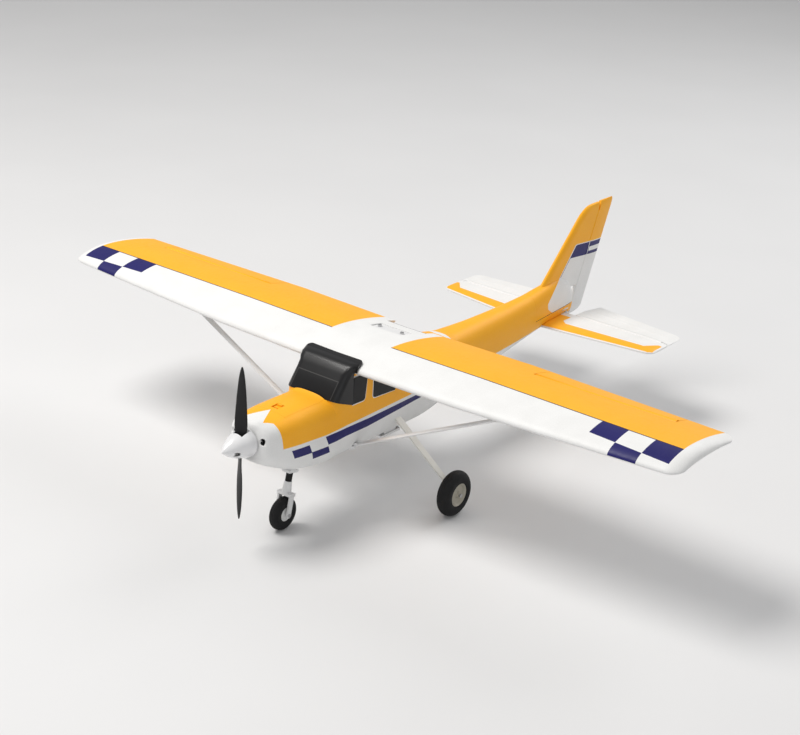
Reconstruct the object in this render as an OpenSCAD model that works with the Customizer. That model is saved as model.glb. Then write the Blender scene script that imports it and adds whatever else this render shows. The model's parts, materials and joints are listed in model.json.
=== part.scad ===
// High-wing foam trainer aeroplane with tricycle landing gear, in millimetres.
// +X points to the nose, +Y to the left wing tip and +Z up. The origin lies on the
// ground, under the centre of the aeroplane's box.

/* [Wing] */
// Span of the wing from tip to tip
wing_span = 1226; // [1200:2:1240]
// Chord of the wing at its root
root_chord = 218; // [214:1:222]
// Greatest thickness of the wing as a share of its chord
wing_thickness = 0.125; // [0.115:0.005:0.135]
// Rise of each half of the wing, in degrees
dihedral = 0.92; // [0.5:0.02:1.5]
// Height of the wing's chord line above the ground at the root
wing_z = 254.5; // [253.5:0.5:256]
// Chord of the ailerons, from their hinge line to the trailing edge at the root
aileron_chord = 48; // [44:1:50]

/* [Fuselage] */
// Thickness of the moulded foam shell
shell = 5; // [4:0.5:6]
// Half of the fuselage's width at the cabin
cabin_half_width = 50; // [48:1:52]

/* [Tail] */
// Span of the stabilizer and elevator
tail_span = 466; // [440:2:480]
// Thickness of the stabilizer
tail_thickness = 9; // [8:0.5:10]
// Height of the fin's tip above the ground
fin_top = 354; // [340:1:356]

/* [Propulsion] */
// Height of the propeller shaft above the ground
shaft_z = 183.7; // [182:0.1:185]
// Diameter of the propeller
propeller_d = 252.8; // [240:0.2:256]
// Advance of the propeller in one turn
propeller_pitch = 152; // [120:1:180]
// Diameter of the spinner
spinner_d = 47; // [44:1:48]

/* [Landing gear] */
// Diameter of the main wheels
main_wheel_d = 77.6; // [74:0.2:80]
// Diameter of the nose wheel
nose_wheel_d = 56.5; // [54:0.1:58]
// Distance between the middles of the main wheels
wheel_track = 334; // [320:2:344]

/* [Linkages] */
// Radius of the aileron, elevator and steering arms
arm_r = 12; // [11:0.5:13]
// Radius of the rudder arms
rudder_arm_r = 18; // [17.5:0.5:18.5]

/* [Hidden] */
$fn = 48;
clear = 0.3;
slack = 0.05;
slight = 0.01;

// Wing layout
wing_le = 292;
half_span = wing_span / 2;
taper_y = 240;
taper = 0.055;
tip_r = 22;
wing_te = wing_le - root_chord;
te_thick = 2.5;
camber_top = 0.04;
camber_at = 0.4;
aileron_hinge_x = wing_te + aileron_chord;
aileron_in = 276;
aileron_out = 527;
aileron_axis_z = 4.9;
aileron_nose_r = 6.2;
aileron_servo_y = 330;
aileron_servo_x = aileron_hinge_x + 50;
tube_x = 215;
tube_z = wing_z + 10;
tube_r = 4;
tube_l = 500;
plate_x = 138;
plate_w = 64;
screw_y = 23;
// The trailing edge is notched where the fuselage's deck runs into it
notch_x = 94;
notch_half_w = 40;

// Fuselage stations: distance from the origin, half width, belly height, top height
fuselage_stations = [
    [482, 28, 157, 207], [479, 35, 152, 212], [472, 41, 146.5, 216], [460, 45, 140, 218],
    [440, 48, 130.5, 219.5], [415, 50, 120, 220.5], [385, 50.5, 111.5, 220.5], [350, 51, 106, 220],
    [334, 51, 104, 226], [300, 50.5, 102, 290], [240, 50, 101, 300], [123, 48, 99, 296],
    [94, 47, 100.2, 256],
    [84, 46.5, 100.5, 251], [60, 45, 103, 239], [23, 42, 108, 230], [-16, 38.5, 114, 223.5],
    [-100, 32.5, 123.5, 221.5], [-172, 28.5, 132, 221], [-260, 23.5, 144, 223], [-309, 20.5, 149, 228],
    [-360, 17, 150, 232], [-395, 13.5, 152, 222], [-409, 11, 154, 205]
];
ring_sides = 24;
roundness = 3.1;
tail_roundness = 2.3;
cavity_front = 474;
cavity_rear = -380;

// Hatch and canopy
hatch_front = 432;
hatch_rear = 340.2;
hatch_w = 60;
hatch_z = 211;
deck_top = 221.5;
canopy_front = 339;
canopy_back = 293.8;
canopy_foot = 197;
canopy_foot_half_w = 52;
canopy_flare = 1;
canopy_top = 263.6;
// Lower edge of the canopy: its height at the back and how steeply it rises to the front
sill_z = 200.1;
sill_rise = 0.385;
// Levels of the canopy above its foot, and of the brow over it: height, front and half width
canopy_levels = [[218, 339, 51.4], [244, 320, 50.8], [254, 312.5, 51.6], [258, 309.4, 54]];
brow_levels = [[262.7, 304.1, 55], [265.6, 300.6, 54.9], [267.4, 296.2, 54.4], [268.2, 291, 53.4]];
brow_back = 279.3;
cap_rear = 276;
cap_w = 112;

// Tail layout
stab_z = 157;
stab_le = -299;
elevator_x = -392;
elevator_inner = 33;
fin_split_z = 177.5;
fin_foot = -269;
rudder_lean = 21.4;
rudder_foot_x = -416;
rudder_foot_z = 157;
rudder_link_z = 190;
rudder_link_x = rudder_foot_x - (rudder_link_z - rudder_foot_z) * tan(rudder_lean);
elevator_arm_y = 9;

// Nose leg layout: the strut's axis passes through the wheel's middle
strut_lean = 11.7;
nose_wheel_x = 393.7;
nose_wheel_z = nose_wheel_d / 2;
nose_tyre_w = 17;
strut_pin_r = 2;
bearing_low = 71;
steer_s = 125;
steer_servo_gap = 46;

// Main gear layout
main_x = 164;
main_z = main_wheel_d / 2;
main_tyre_w = 24;
leg_t = 3;
leg_w = 14;
leg_top_z = 134;
axle_r = 1.75;

// Deck inside the fuselage
tray_z = 158;
tray_t = 3;
elevator_servo_x = 122;
rudder_servo_x = 166;

foam_orange = "orange";
foam_white = "whitesmoke";
black_plastic = "#1b1b1d";
steel = "silver";

// ---- Shapes shared by several parts ----

// Solid skinned over closed rings that all have the same number of points
module loft(rings) {
    count = len(rings[0]);
    last = len(rings) - 1;
    points = [for (ring = rings) for (point = ring) point];
    sides = [
        for (i = [0:last - 1]) for (j = [0:count - 1]) let (a = i * count, b = a + count, k = (j + 1) % count)
            [a + j, b + j, b + k, a + k]
    ];
    caps = [[for (j = [0:count - 1]) j], [for (j = [count - 1:-1:0]) last * count + j]];
    polyhedron(points, concat(sides, caps), convexity = 8);
}

// Foam moulding or thin moulded skin: one faceted body, with its cut-outs in the facets
module moulded() {
    resize([0, 0, 0]) children();
}

// Box given by its two opposite corners
module block(low, high) {
    translate(low) cube(high - low);
}

// Cylinder along Y, centred on the local origin
module rod_y(r, l) {
    rotate([90, 0, 0]) cylinder(r = r, h = l, center = true);
}

// Cylinder that starts at a point and runs forward along X
module rod_x(r, l) {
    rotate([0, 90, 0]) cylinder(r = r, h = l);
}

module both_sides() {
    children();
    mirror([0, 1, 0]) children();
}

function signed_power(v, p) = sign(v) * pow(abs(v), p);

// ---- Aerofoils ----

function half_thickness(t) =
    5 * (0.2969 * sqrt(t) - 0.126 * t - 0.3516 * t * t + 0.2843 * pow(t, 3) - 0.1036 * pow(t, 4));

function camber(t) = t < camber_at
    ? camber_top / pow(camber_at, 2) * (2 * camber_at * t - t * t)
    : camber_top / pow(1 - camber_at, 2) * (1 - 2 * camber_at + 2 * camber_at * t - t * t);

// Height of the wing section's surface over its chord line, side 1 above and -1 below
function wing_height(t, chord, thick, side) =
    chord * camber(t) + side * (chord * thick * half_thickness(t) + te_thick / 2 * t);

steps = 11;
function chord_share(i) = (1 - cos(180 * i / steps)) / 2;

// Wing section as a ring of points: underneath to the rear, then back over the top
function wing_ring(y, le, te, thick, grow) = concat(
    [for (i = [0:steps]) let (t = chord_share(i), c = le - te)
        [le + grow - t * (c + 2 * grow), y, wing_height(t, c, thick, -1) - grow]],
    [for (i = [steps:-1:1]) let (t = chord_share(i), c = le - te)
        [le + grow - t * (c + 2 * grow), y, wing_height(t, c, thick, 1) + grow]]
);

function edge_shift(y) = max(0, y - taper_y) * taper;

// The tip closes along a quarter turn, where a is the angle reached at that section
function tip_ring(a) =
    let (y = half_span - tip_r + tip_r * sin(a), cut = tip_r * (1 - cos(a)))
    wing_ring(y, wing_le - edge_shift(y) - cut, wing_te + edge_shift(y) + cut, wing_thickness * cos(a), 0);

function panel_rings(grow) = [
    for (y = [-4, taper_y, half_span - tip_r])
        wing_ring(y, wing_le - edge_shift(y), wing_te + edge_shift(y), wing_thickness, grow)
];

module wing_frame() {
    translate([0, 0, wing_z]) rotate([dihedral, 0, 0]) children();
}

// Room that the wing takes up in the parts that it rests on or passes
module wing_envelope(grow) {
    both_sides() wing_frame() loft(panel_rings(grow));
}

// ---- Fuselage ----

function ring_roundness(x) = x > 60 ? roundness : x < -100 ? tail_roundness
    : tail_roundness + (roundness - tail_roundness) * (x + 100) / 160;

// Half width follows the cabin's, so the whole fuselage widens with it
function fuselage_ring(station, inset) =
    let (
        w = station[1] * cabin_half_width / 50 - inset,
        low = station[2] + inset,
        high = station[3] - inset,
        mid = (low + high) / 2,
        p = 2 / ring_roundness(station[0])
    )
    [for (i = [0:ring_sides - 1]) let (a = -360 * i / ring_sides)
        [station[0], w * signed_power(cos(a), p), mid + (high - mid) * signed_power(sin(a), p)]];

module fuselage_skin() {
    loft([for (station = fuselage_stations) fuselage_ring(station, 0)]);
}

module fuselage_cavity() {
    loft([
        for (station = fuselage_stations)
            if (station[0] < cavity_front && station[0] > cavity_rear) fuselage_ring(station, shell)
    ]);
}

// Everything cut out of the foam shell for what passes through it or sits on it
module fuselage_openings() {
    wing_envelope(clear);
    // Space over the wing, and the step where the wing's trailing edge ends
    block([wing_te - 6, -80, wing_z + 3], [wing_le + 60, 80, 300]);
    // Everything under the canopy and its cap, above the deck
    block([canopy_back - 6, -80, wing_z], [wing_le + 60, 80, 300]);
    block([canopy_back - clear, -80, deck_top], [hatch_rear, 80, 300]);
    // Hatch opening and the seat for the canopy
    block([hatch_rear - 4, -hatch_w / 2 - clear, hatch_z - clear],
        [hatch_front + clear, hatch_w / 2 + clear, 240]);
    canopy_seat();
    // Round opening behind the spinner and the two air inlets
    translate([465, 0, shaft_z]) rod_x(17.5, 30);
    both_sides() translate([466, 27, shaft_z + 8]) rotate([0, 0, 30]) block([0, -4, -4], [30, 4, 4]);
    // Slots for the main gear leg and the gear plate
    block([main_x - 25.2, -32.2, 96], [main_x + 25.2, 32.2, leg_top_z]);
    leg_sweep(leg_w / 2 + 0.4, 0.4);
    // Bore for the nose leg's bearing
    strut_frame() translate([0, 0, bearing_low - 3]) cylinder(r = 9.1, h = 40);
    // Slot through the tail for the stabilizer, and everything above it for the fin
    tail_slab(clear);
    block([-420, -30, fin_split_z], [fin_foot, 30, 260]);
    // Rear wall cleared for the elevator's joiner, its horn and the pushrods
    block([elevator_x - 8.5, -40, stab_z - 6], [elevator_x + 9, 40, stab_z + 6]);
    block([-401, 5, 148], [-377, 18, fin_split_z + 1]);
    block([-420, 11, 164], [110, 17, 174]);
    rudder_rod_room();
    // Seats for the wing struts' lower brackets
    both_sides() {
        lower_bracket_box(0.1);
        wing_strut_frame() block([-6.4, -3.1, -9.2], [6.4, 3.1, 14]);
    }
}

module foam_shell() {
    difference() {
        fuselage_skin();
        fuselage_cavity();
        fuselage_openings();
    }
    coaming();
}

module fuselage_left() {
    color(foam_orange) moulded() intersection() {
        foam_shell();
        block([-500, 0, 50], [500, 120, 320]);
    }
}

module fuselage_right() {
    color(foam_orange) moulded() intersection() {
        foam_shell();
        block([-500, -120, 50], [500, 0, 320]);
    }
}

// Glazing panels on the cabin's sides: one that goes on from the canopy and one behind it
module side_windows() {
    color(black_plastic) both_sides() translate([0, cabin_half_width * 1.012, 0]) rotate([90, 0, 180])
        linear_extrude(1.2) {
            polygon([[-292.4, 200], [-266, 199], [-263, 202], [-257, 245], [-292.4, 245]]);
            polygon([[-241, 245], [-242, 197], [-239, 195], [-182, 192], [-166, 245]]);
        }
}

// ---- Hatch ----

// Level of the canopy: a rounded front on straight sides, where grow moves its walls outwards
function canopy_level(z, front, half_w, grow, back) =
    let (r = 14, w = half_w + grow, f = front + grow)
    [
        for (a = [-75:15:0]) [f - r + r * cos(a), -w + r + r * sin(a), z],
        for (a = [0:15:75]) [f - r + r * cos(a), w - r + r * sin(a), z],
        [f - r, w, z], [back, w, z], [back, -w, z], [f - r, -w, z]
    ];

module canopy_body(grow, back) {
    loft([
        canopy_level(canopy_foot - grow, canopy_front + canopy_flare, canopy_foot_half_w, grow, back),
        for (level = canopy_levels) canopy_level(level[0], level[1], level[2], grow, back),
        canopy_level(canopy_top + grow, canopy_front - 35.4, 55.6, grow, back)
    ]);
}

// Everything under the canopy's lower edge, which rises to the front; drop lowers it
module under_sill(drop) {
    run = 60;
    translate([0, 70, 0]) rotate([90, 0, 0]) linear_extrude(140) polygon([
        [canopy_back - 20, 150],
        [canopy_back + run, 150],
        [canopy_back + run, sill_z + run * sill_rise - drop],
        [canopy_back, sill_z - drop],
        [canopy_back - 20, sill_z - drop]
    ]);
}

// Pocket for the canopy's foot, with upright walls so that the canopy lifts straight out
module canopy_seat() {
    difference() {
        loft([
            for (z = [canopy_foot - 0.4, canopy_top + 0.4])
                canopy_level(z, canopy_front + canopy_flare, canopy_foot_half_w, 0.4, canopy_back - clear)
        ]);
        under_sill(0.3);
    }
}

// Foam wall that stands up from the fuselage's rounded edge to carry the canopy
module coaming() {
    difference() {
        intersection() {
            canopy_body(-1, canopy_back + 1);
            under_sill(0.3);
        }
        canopy_body(-7, canopy_back - 10);
        block([canopy_back, -hatch_w / 2 - clear, 180], [hatch_front, hatch_w / 2 + clear, 240]);
    }
}

module hatch_deck() {
    color(foam_orange) moulded() difference() {
        intersection() {
            fuselage_skin();
            block([hatch_rear, -hatch_w / 2, hatch_z], [hatch_front, hatch_w / 2, 240]);
        }
        block([406 - clear, -7, 215], [422 + clear, 7, 240]);
    }
}

module windscreen() {
    color(black_plastic) moulded() {
        difference() {
            canopy_body(0, canopy_back);
            canopy_body(-1.8, canopy_back - 10);
            under_sill(0);
        }
        // Brow that rounds over from the canopy to its cap
        difference() {
            loft([for (level = brow_levels) canopy_level(level[0], level[1], level[2], 0, brow_back)]);
            wing_envelope(0.7);
        }
        // Cap that lies over the wing's leading edge
        intersection() {
            difference() {
                wing_envelope(2.6);
                wing_envelope(0.7);
            }
            block([cap_rear, -cap_w / 2, wing_z + 1], [wing_le + 5, cap_w / 2, 300]);
        }
    }
}

module hatch_latch() {
    color(foam_orange) {
        block([408, -5.5, 215.2], [417, 5.5, 218.6]);
        block([408, -4.5, 218.6], [410.5, 4.5, 221.4]);
    }
}

// ---- Wing ----

module wing_panel() {
    loft(concat(panel_rings(0), [for (a = [22:22:66]) tip_ring(a), tip_ring(80)]));
}

// Room for the aileron, from the wing's rear wall backwards
module aileron_bay(gap) {
    block([20, aileron_in - gap, -30], [aileron_hinge_x + aileron_nose_r + gap, aileron_out + gap, 40]);
}

module at_aileron_hinges() {
    for (y = [aileron_in + 26, (aileron_in + aileron_out) / 2, aileron_out - 26])
        translate([aileron_hinge_x, y, aileron_axis_z]) children();
}

// Tongue of a hinge with its pin; grow and pin_r let the same shape cut its seat
module hinge_piece(grow, pin_r, pin_l) {
    block([0, -2.5 - grow, -0.8 - grow], [14 + grow, 2.5 + grow, 0.8 + grow]);
    rod_y(pin_r, pin_l);
}

// Room for a hinge in the moving surface, tall enough for its travel
module hinge_room() {
    block([-2, -3, -4.5], [20, 3, 4.5]);
    rod_y(1 + slack, 13);
}

module wing_half() {
    difference() {
        moulded() wing_frame() difference() {
            wing_panel();
            aileron_bay(0.9);
            at_aileron_hinges() hinge_piece(0.1, 0.5, 1);
            aileron_servo_pocket();
            strut_seat(0.1);
            block([wing_te - 5, -10, -20], [notch_x, notch_half_w, 20]);
        }
        block([0, -20, 200], [400, 0, 300]);
        translate([tube_x, 0, tube_z]) rod_y(tube_r + slack, tube_l + 1);
        plate_frame() block([-15.2, -plate_w, -0.1], [15.2, plate_w / 2 + 0.2, 20]);
        wing_screw_holes();
    }
}

module left_wing() {
    color(foam_white) wing_half();
}

module right_wing() {
    color(foam_white) mirror([0, 1, 0]) wing_half();
}

module aileron_body() {
    wing_frame() difference() {
        moulded() union() {
            intersection() {
                wing_panel();
                block([20, aileron_in, -30], [aileron_hinge_x, aileron_out, 40]);
            }
            translate([aileron_hinge_x, (aileron_in + aileron_out) / 2, aileron_axis_z])
                rod_y(aileron_nose_r, aileron_out - aileron_in);
        }
        at_aileron_hinges() hinge_room();
        aileron_horn_seat(0.1);
    }
}

module left_aileron() {
    color(foam_orange) aileron_body();
}

module right_aileron() {
    color(foam_orange) mirror([0, 1, 0]) aileron_body();
}

module wing_tube() {
    color(steel) translate([tube_x, 0, tube_z]) difference() {
        rod_y(tube_r, tube_l);
        rod_y(tube_r - 1, tube_l + 2);
    }
}

// Local frame on the wing's upper surface where the plate is let in
module plate_frame() {
    translate([plate_x, 0, wing_z + 11.6]) rotate([0, -8, 0]) children();
}

module wing_plate() {
    color("dimgray") difference() {
        plate_frame() block([-15, -plate_w / 2, 0], [15, plate_w / 2, 2.4]);
        wing_screw_holes();
    }
}

module at_wing_screws() {
    for (side = [-1, 1]) translate([plate_x, side * screw_y, wing_z]) children();
}

module wing_screw_holes() {
    at_wing_screws() translate([0, 0, -20]) cylinder(r = 1.6, h = 50);
}

module wing_screws() {
    color(steel) at_wing_screws() {
        translate([0, 0, -12]) cylinder(r = 1.5, h = 28);
        translate([0, 0, 14.6]) cylinder(r = 3.2, h = 2.4);
    }
}

// ---- Wing struts ----

strut_low = [269, 44, 121];
strut_high = [264, 303, 247.5];
strut_run = strut_high - strut_low;
strut_l = norm(strut_run);
strut_rise = atan2(strut_run[2], strut_run[1]);
strut_chord = 12;
strut_t = 6;

// Local frame of a strut: Z along the bar from its lower end, X across it
module wing_strut_frame() {
    translate(strut_low) rotate([strut_rise - 90, 0, 0]) rotate([0, atan2(strut_run[0], strut_l), 0])
        children();
}

module wing_strut() {
    lens_r = (pow(strut_chord, 2) + pow(strut_t, 2)) / 4 / strut_t;
    lens_shift = lens_r - strut_t / 2;
    wing_strut_frame() difference() {
        intersection() {
            union() {
                translate([0, 0, 6]) linear_extrude(strut_l - 12) intersection() {
                    translate([0, lens_shift]) circle(r = lens_r, $fn = 96);
                    translate([0, -lens_shift]) circle(r = lens_r, $fn = 96);
                }
                block([-4.5, -1.2, -5], [4.5, 1.2, strut_l + 5]);
            }
            union() {
                translate([0, 0, 1]) rotate([90, 0, 0]) cylinder(r = 6.2, h = 10, center = true);
                block([-10, -10, 1], [10, 10, strut_l - 1]);
                translate([0, 0, strut_l - 1]) rotate([90, 0, 0]) cylinder(r = 6.2, h = 10, center = true);
            }
        }
        for (s = [0, strut_l]) translate([0, 0, s]) rod_y(1.1, 10);
    }
}

module left_wing_strut() {
    color(foam_white) wing_strut();
}

module right_wing_strut() {
    color(foam_white) mirror([0, 1, 0]) wing_strut();
}

module lower_bracket_box(grow) {
    block([260.5 - grow, 32 - grow, 112 - grow], [277.5 + grow, 39.5 + grow, 126 + grow]);
}

module strut_seat(grow) {
    translate([strut_high[0], strut_high[1], 0])
        block([-9 - grow, -10 - grow, -12], [9 + grow, 10 + grow, 0.4 + grow]);
}

module strut_bracket_pair() {
    difference() {
        union() {
            lower_bracket_box(0);
            intersection() {
                wing_strut_frame() block([-5, -2.9, -9], [5, 2.9, 4.5]);
                block([250, 39.4, 100], [290, 60, 140]);
            }
        }
        wing_strut_frame() block([-7, -1.3, -6.2], [7, 1.3, 20]);
        wing_strut_frame() rod_y(1.1, 12);
    }
    difference() {
        intersection() {
            wing_strut_frame() translate([0, 0, strut_l]) block([-5, -2.9, -4.5], [5, 2.9, 8]);
            wing_frame() block([240, 280, -14], [290, 330, -5.6]);
        }
        wing_strut_frame() translate([0, 0, strut_l]) block([-7, -1.3, -20], [7, 1.3, 5.4]);
        wing_strut_frame() translate([0, 0, strut_l]) rod_y(1.1, 12);
    }
    wing_frame() translate([strut_high[0], strut_high[1], 0]) block([-9, -10, -5.6], [9, 10, 0.4]);
}

module strut_brackets() {
    color(foam_white) both_sides() strut_bracket_pair();
}

// ---- Tail ----

tail_shares = [0, 0.02, 0.06, 0.12, 0.25, 0.6, 1];

// Half thickness of the flat tail section: a rounded front edge that thins to the rear
function tail_half(t, thick) = thick / 2 * min(1, 0.2 + 2.4 * sqrt(t)) * (1 - 0.7 * t * t);

// Tail section as a ring of points: underneath to the rear, then back over the top
function tail_ring(y, le, te, thick) = concat(
    [for (t = tail_shares) [le - t * (le - te), y, -tail_half(t, thick)]],
    [for (i = [len(tail_shares) - 1:-1:0]) let (t = tail_shares[i])
        [le - t * (le - te), y, tail_half(t, thick)]]
);
function tail_le(y) = stab_le - 0.14 * abs(y);
function tail_te(y) = -470 + 0.12 * abs(y);

module tail_plane() {
    half = tail_span / 2;
    tip = 16;
    rings = [
        for (y = [0, half - tip]) tail_ring(y, tail_le(y), tail_te(y), tail_thickness),
        for (a = [30, 60, 80]) let (y = half - tip + tip * sin(a), cut = tip * (1 - cos(a)))
            tail_ring(y, tail_le(y) - cut, tail_te(y) + cut, tail_thickness * cos(a))
    ];
    translate([0, 0, stab_z]) both_sides() loft(rings);
}

// The fuselage's slot for the stabilizer
module tail_slab(grow) {
    half_t = tail_thickness / 2 + grow;
    block([elevator_x + 4, -40, stab_z - half_t], [stab_le + grow, 40, stab_z + half_t]);
}

module at_elevator_hinges() {
    for (side = [-1, 1]) for (y = [62, 150]) translate([elevator_x, side * y, stab_z]) children();
}

module stabilizer() {
    color(foam_white) moulded() difference() {
        intersection() {
            tail_plane();
            block([elevator_x + 5.2, -300, 100], [-200, 300, 200]);
        }
        at_elevator_hinges() hinge_piece(0.1, 0.5, 1);
    }
}

elevator_nose_r = 4;

module elevator_half() {
    difference() {
        moulded() union() {
            intersection() {
                tail_plane();
                linear_extrude(300) polygon([
                    [elevator_x, elevator_inner], [elevator_x, 300], [-500, 300],
                    [-500, elevator_inner + 16], [elevator_x - 30, elevator_inner]
                ]);
            }
            intersection() {
                translate([elevator_x, elevator_inner, stab_z]) rotate([-90, 0, 0])
                    cylinder(r = elevator_nose_r, h = tail_span / 2 - elevator_inner - 15);
                block([elevator_x, 0, 0], [elevator_x + 20, 300, 300]);
            }
        }
        for (y = [62, 150]) translate([elevator_x, y, stab_z]) hinge_room();
        translate([elevator_x, elevator_inner, stab_z]) rod_y(1.55, 32);
        block([elevator_x - 20, elevator_inner + 14.5, stab_z - 1.55],
            [elevator_x, elevator_inner + 17.6, stab_z + 1.55]);
    }
}

module elevator() {
    color(foam_white) both_sides() elevator_half();
}

// Steel joiner wire with bent ends, and the horn that the pushrod moves
module elevator_joiner() {
    color(steel) translate([elevator_x, 0, stab_z]) {
        rod_y(1.5, 2 * elevator_inner + 29);
        both_sides() translate([-18, elevator_inner + 16, 0]) rod_x(1.5, 18);
        difference() {
            translate([0, elevator_arm_y - 0.5, 0]) rotate([90, 0, 180]) {
                cylinder(r = 4, h = 3);
                linear_extrude(2) polygon([[-3, 0], [3, 0], [2.2, arm_r + 2.5], [-2.2, arm_r + 2.5]]);
            }
            translate([0, elevator_arm_y, arm_r]) rod_y(0.85, 20);
        }
    }
}

// Fin outline seen from the side: it leans aft, with a rounded top corner
function rudder_x(z) = rudder_foot_x - (z - rudder_foot_z) * tan(rudder_lean);
function fin_front(z) = -307 - (z - 226) * 1.02;

function blade_ring(z, front, rear, half_t, nose_t) = [
    [front, 0, z], [front - 4, nose_t, z], [front - 22, half_t, z], [rear, half_t * 0.82, z],
    [rear, -half_t * 0.82, z], [front - 22, -half_t, z], [front - 4, -nose_t, z]
];

module fin_blade() {
    loft([
        for (z = [205, 226, 340]) blade_ring(z, fin_front(z), rudder_x(z) + 5.2, 5.6, 2),
        blade_ring(350, fin_front(350) - 5, rudder_x(350) + 5.2, 4.4, 1.4),
        blade_ring(fin_top, fin_front(fin_top) - 14, rudder_x(fin_top) + 5.2, 3, 1)
    ]);
}

module fin() {
    color(foam_orange) moulded() difference() {
        union() {
            intersection() {
                difference() {
                    fuselage_skin();
                    fuselage_cavity();
                }
                block([-412, -40, fin_split_z], [fin_foot, 40, 300]);
            }
            fin_blade();
        }
        rudder_frame() translate([0, 0, -60]) cylinder(r = 5.2, h = 320);
        rudder_frame() block([-80, -30, -60], [0, 30, 260]);
        block([fin_foot - 200, -200, 100], [fin_foot + 5, 200, fin_split_z + 0.1]);
        block([-401, 5, 148], [-377, 18, fin_split_z + 3]);
        rudder_rod_room();
        at_rudder_hinges() hinge_piece(0.1, 0.5, 1);
    }
}

// Local frame on the rudder's hinge line: Z along it, X forward
module rudder_frame() {
    translate([rudder_link_x, 0, rudder_link_z]) rotate([0, -rudder_lean, 0]) children();
}

// Hinges of the rudder lie in the fore-and-aft plane, with their pins upright
module at_rudder_hinges() {
    for (s = [28, 130]) rudder_frame() translate([0, 0, s]) rotate([90, 0, 0]) children();
}

rudder_nose_r = 4.6;

module rudder() {
    color(foam_orange) difference() {
        moulded() union() {
            loft([
                rudder_ring(148, 32, 3), rudder_ring(156, 44, 4.4), rudder_ring(340, 46, 4.4),
                rudder_ring(350, 45, 3.6), rudder_ring(fin_top + 1, 42, 2.4)
            ]);
            intersection() {
                rudder_frame() translate([0, 0, -34]) cylinder(r = rudder_nose_r, h = 200);
                block([-600, -20, 158], [0, 20, 344]);
            }
        }
        at_rudder_hinges() hinge_room();
        rudder_frame() block([-13, -20, -1.6], [3.3, 0, 3.1]);
    }
}

function rudder_ring(z, chord, half_t) =
    let (x = rudder_x(z))
    [[x, -half_t, z], [x, half_t, z], [x - chord + 2, 1, z], [x - chord, 0, z], [x - chord + 2, -1, z]];

// Control horn let into the rudder's right side, its hole beside the hinge line
module rudder_horn() {
    color(black_plastic) rudder_frame() difference() {
        linear_extrude(2) polygon([
            [3, -5.6], [1.8, -rudder_arm_r - 2.5], [-1.8, -rudder_arm_r - 2.5],
            [-12.8, -5.6], [-12.8, -0.4], [3, -0.4]
        ]);
        translate([0, -rudder_arm_r, -2]) cylinder(r = 0.85, h = 8);
    }
}

module hinge_pins() {
    color("gainsboro") {
        both_sides() wing_frame() at_aileron_hinges() hinge_piece(0, 1, 12);
        at_elevator_hinges() hinge_piece(0, 1, 12);
        at_rudder_hinges() hinge_piece(0, 1, 12);
    }
}

// ---- Servos, arms and pushrods ----

// Servo with its shaft along Z and its arm's underside at the origin
module servo() {
    difference() {
        union() {
            block([-6, -6, -26], [16.5, 6, -4]);
            block([-10.5, -6, -11], [21, 6, -9]);
            translate([0, 0, -4]) cylinder(r = 5.6, h = 2.6);
        }
        translate([0, 0, -9]) cylinder(r = 2 + slack, h = 10);
        for (x = [-8.4, 18.9]) translate([x, 0, -12]) cylinder(r = 1, h = 4);
    }
}

// Servo arm along +Y with its output shaft and the hole for the pushrod
module servo_arm(r) {
    difference() {
        union() {
            cylinder(r = 3.6, h = 3);
            translate([0, 0, -7]) cylinder(r = 2, h = 7 + slight);
            linear_extrude(2) polygon([[-3, 0], [3, 0], [2, r], [-2, r]]);
            translate([0, r, 0]) cylinder(r = 2, h = 2);
        }
        translate([0, r, -1]) cylinder(r = 0.85, h = 5);
    }
}

// Pushrod along +X at the arms' radius, with a bent end through each arm
module pushrod(l, r) {
    translate([0, r, 4.2]) rod_x(1, l);
    for (x = [0, l]) translate([x, r, -0.6]) cylinder(r = 0.75, h = 4.8);
}

// Aileron linkage: from the servo back to the horn, with its arms pointing down
module aileron_link_frame() {
    wing_frame() translate([aileron_servo_x, aileron_servo_y, aileron_axis_z]) rotate([-90, 0, 180])
        children();
}

module aileron_servo_pocket() {
    x = aileron_servo_x;
    y = aileron_servo_y;
    block([x - 21.2, y + 3.9, -20], [x + 10.7, y + 26.2, 11.1]);
    block([x - 8, y - 7, -20], [x + 8, y + 4, 10.8]);
    block([aileron_hinge_x - 5, y - 7, -20], [x + 8, y + 2, -1.6]);
}

module aileron_horn_seat(grow) {
    translate([aileron_hinge_x, aileron_servo_y, 0])
        block([-14 - grow, -2 - grow, -20], [3.1 + grow, grow, 1 + grow]);
}

module aileron_horn() {
    aileron_link_frame() translate([aileron_servo_x - aileron_hinge_x, 0, 0]) difference() {
        linear_extrude(2) polygon([
            [-3, 4], [-3, 7], [-2, arm_r + 2.4], [2, arm_r + 2.4], [13.8, 7], [13.8, 4]
        ]);
        translate([0, arm_r, -1]) cylinder(r = 0.85, h = 5);
    }
}

module left_aileron_horn() {
    color(black_plastic) aileron_horn();
}

module right_aileron_horn() {
    color(black_plastic) mirror([0, 1, 0]) aileron_horn();
}

module left_aileron_arm() {
    color(foam_white) aileron_link_frame() servo_arm(arm_r);
}

module right_aileron_arm() {
    color(foam_white) mirror([0, 1, 0]) aileron_link_frame() servo_arm(arm_r);
}

module left_aileron_rod() {
    color(steel) aileron_link_frame() pushrod(aileron_servo_x - aileron_hinge_x, arm_r);
}

module right_aileron_rod() {
    color(steel) mirror([0, 1, 0]) aileron_link_frame() pushrod(aileron_servo_x - aileron_hinge_x, arm_r);
}

// Elevator linkage: upright arms inside the fuselage
module elevator_link_frame() {
    translate([elevator_servo_x, elevator_arm_y, stab_z]) rotate([90, 0, 180]) children();
}

module elevator_arm() {
    color(foam_white) elevator_link_frame() servo_arm(arm_r);
}

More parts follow.
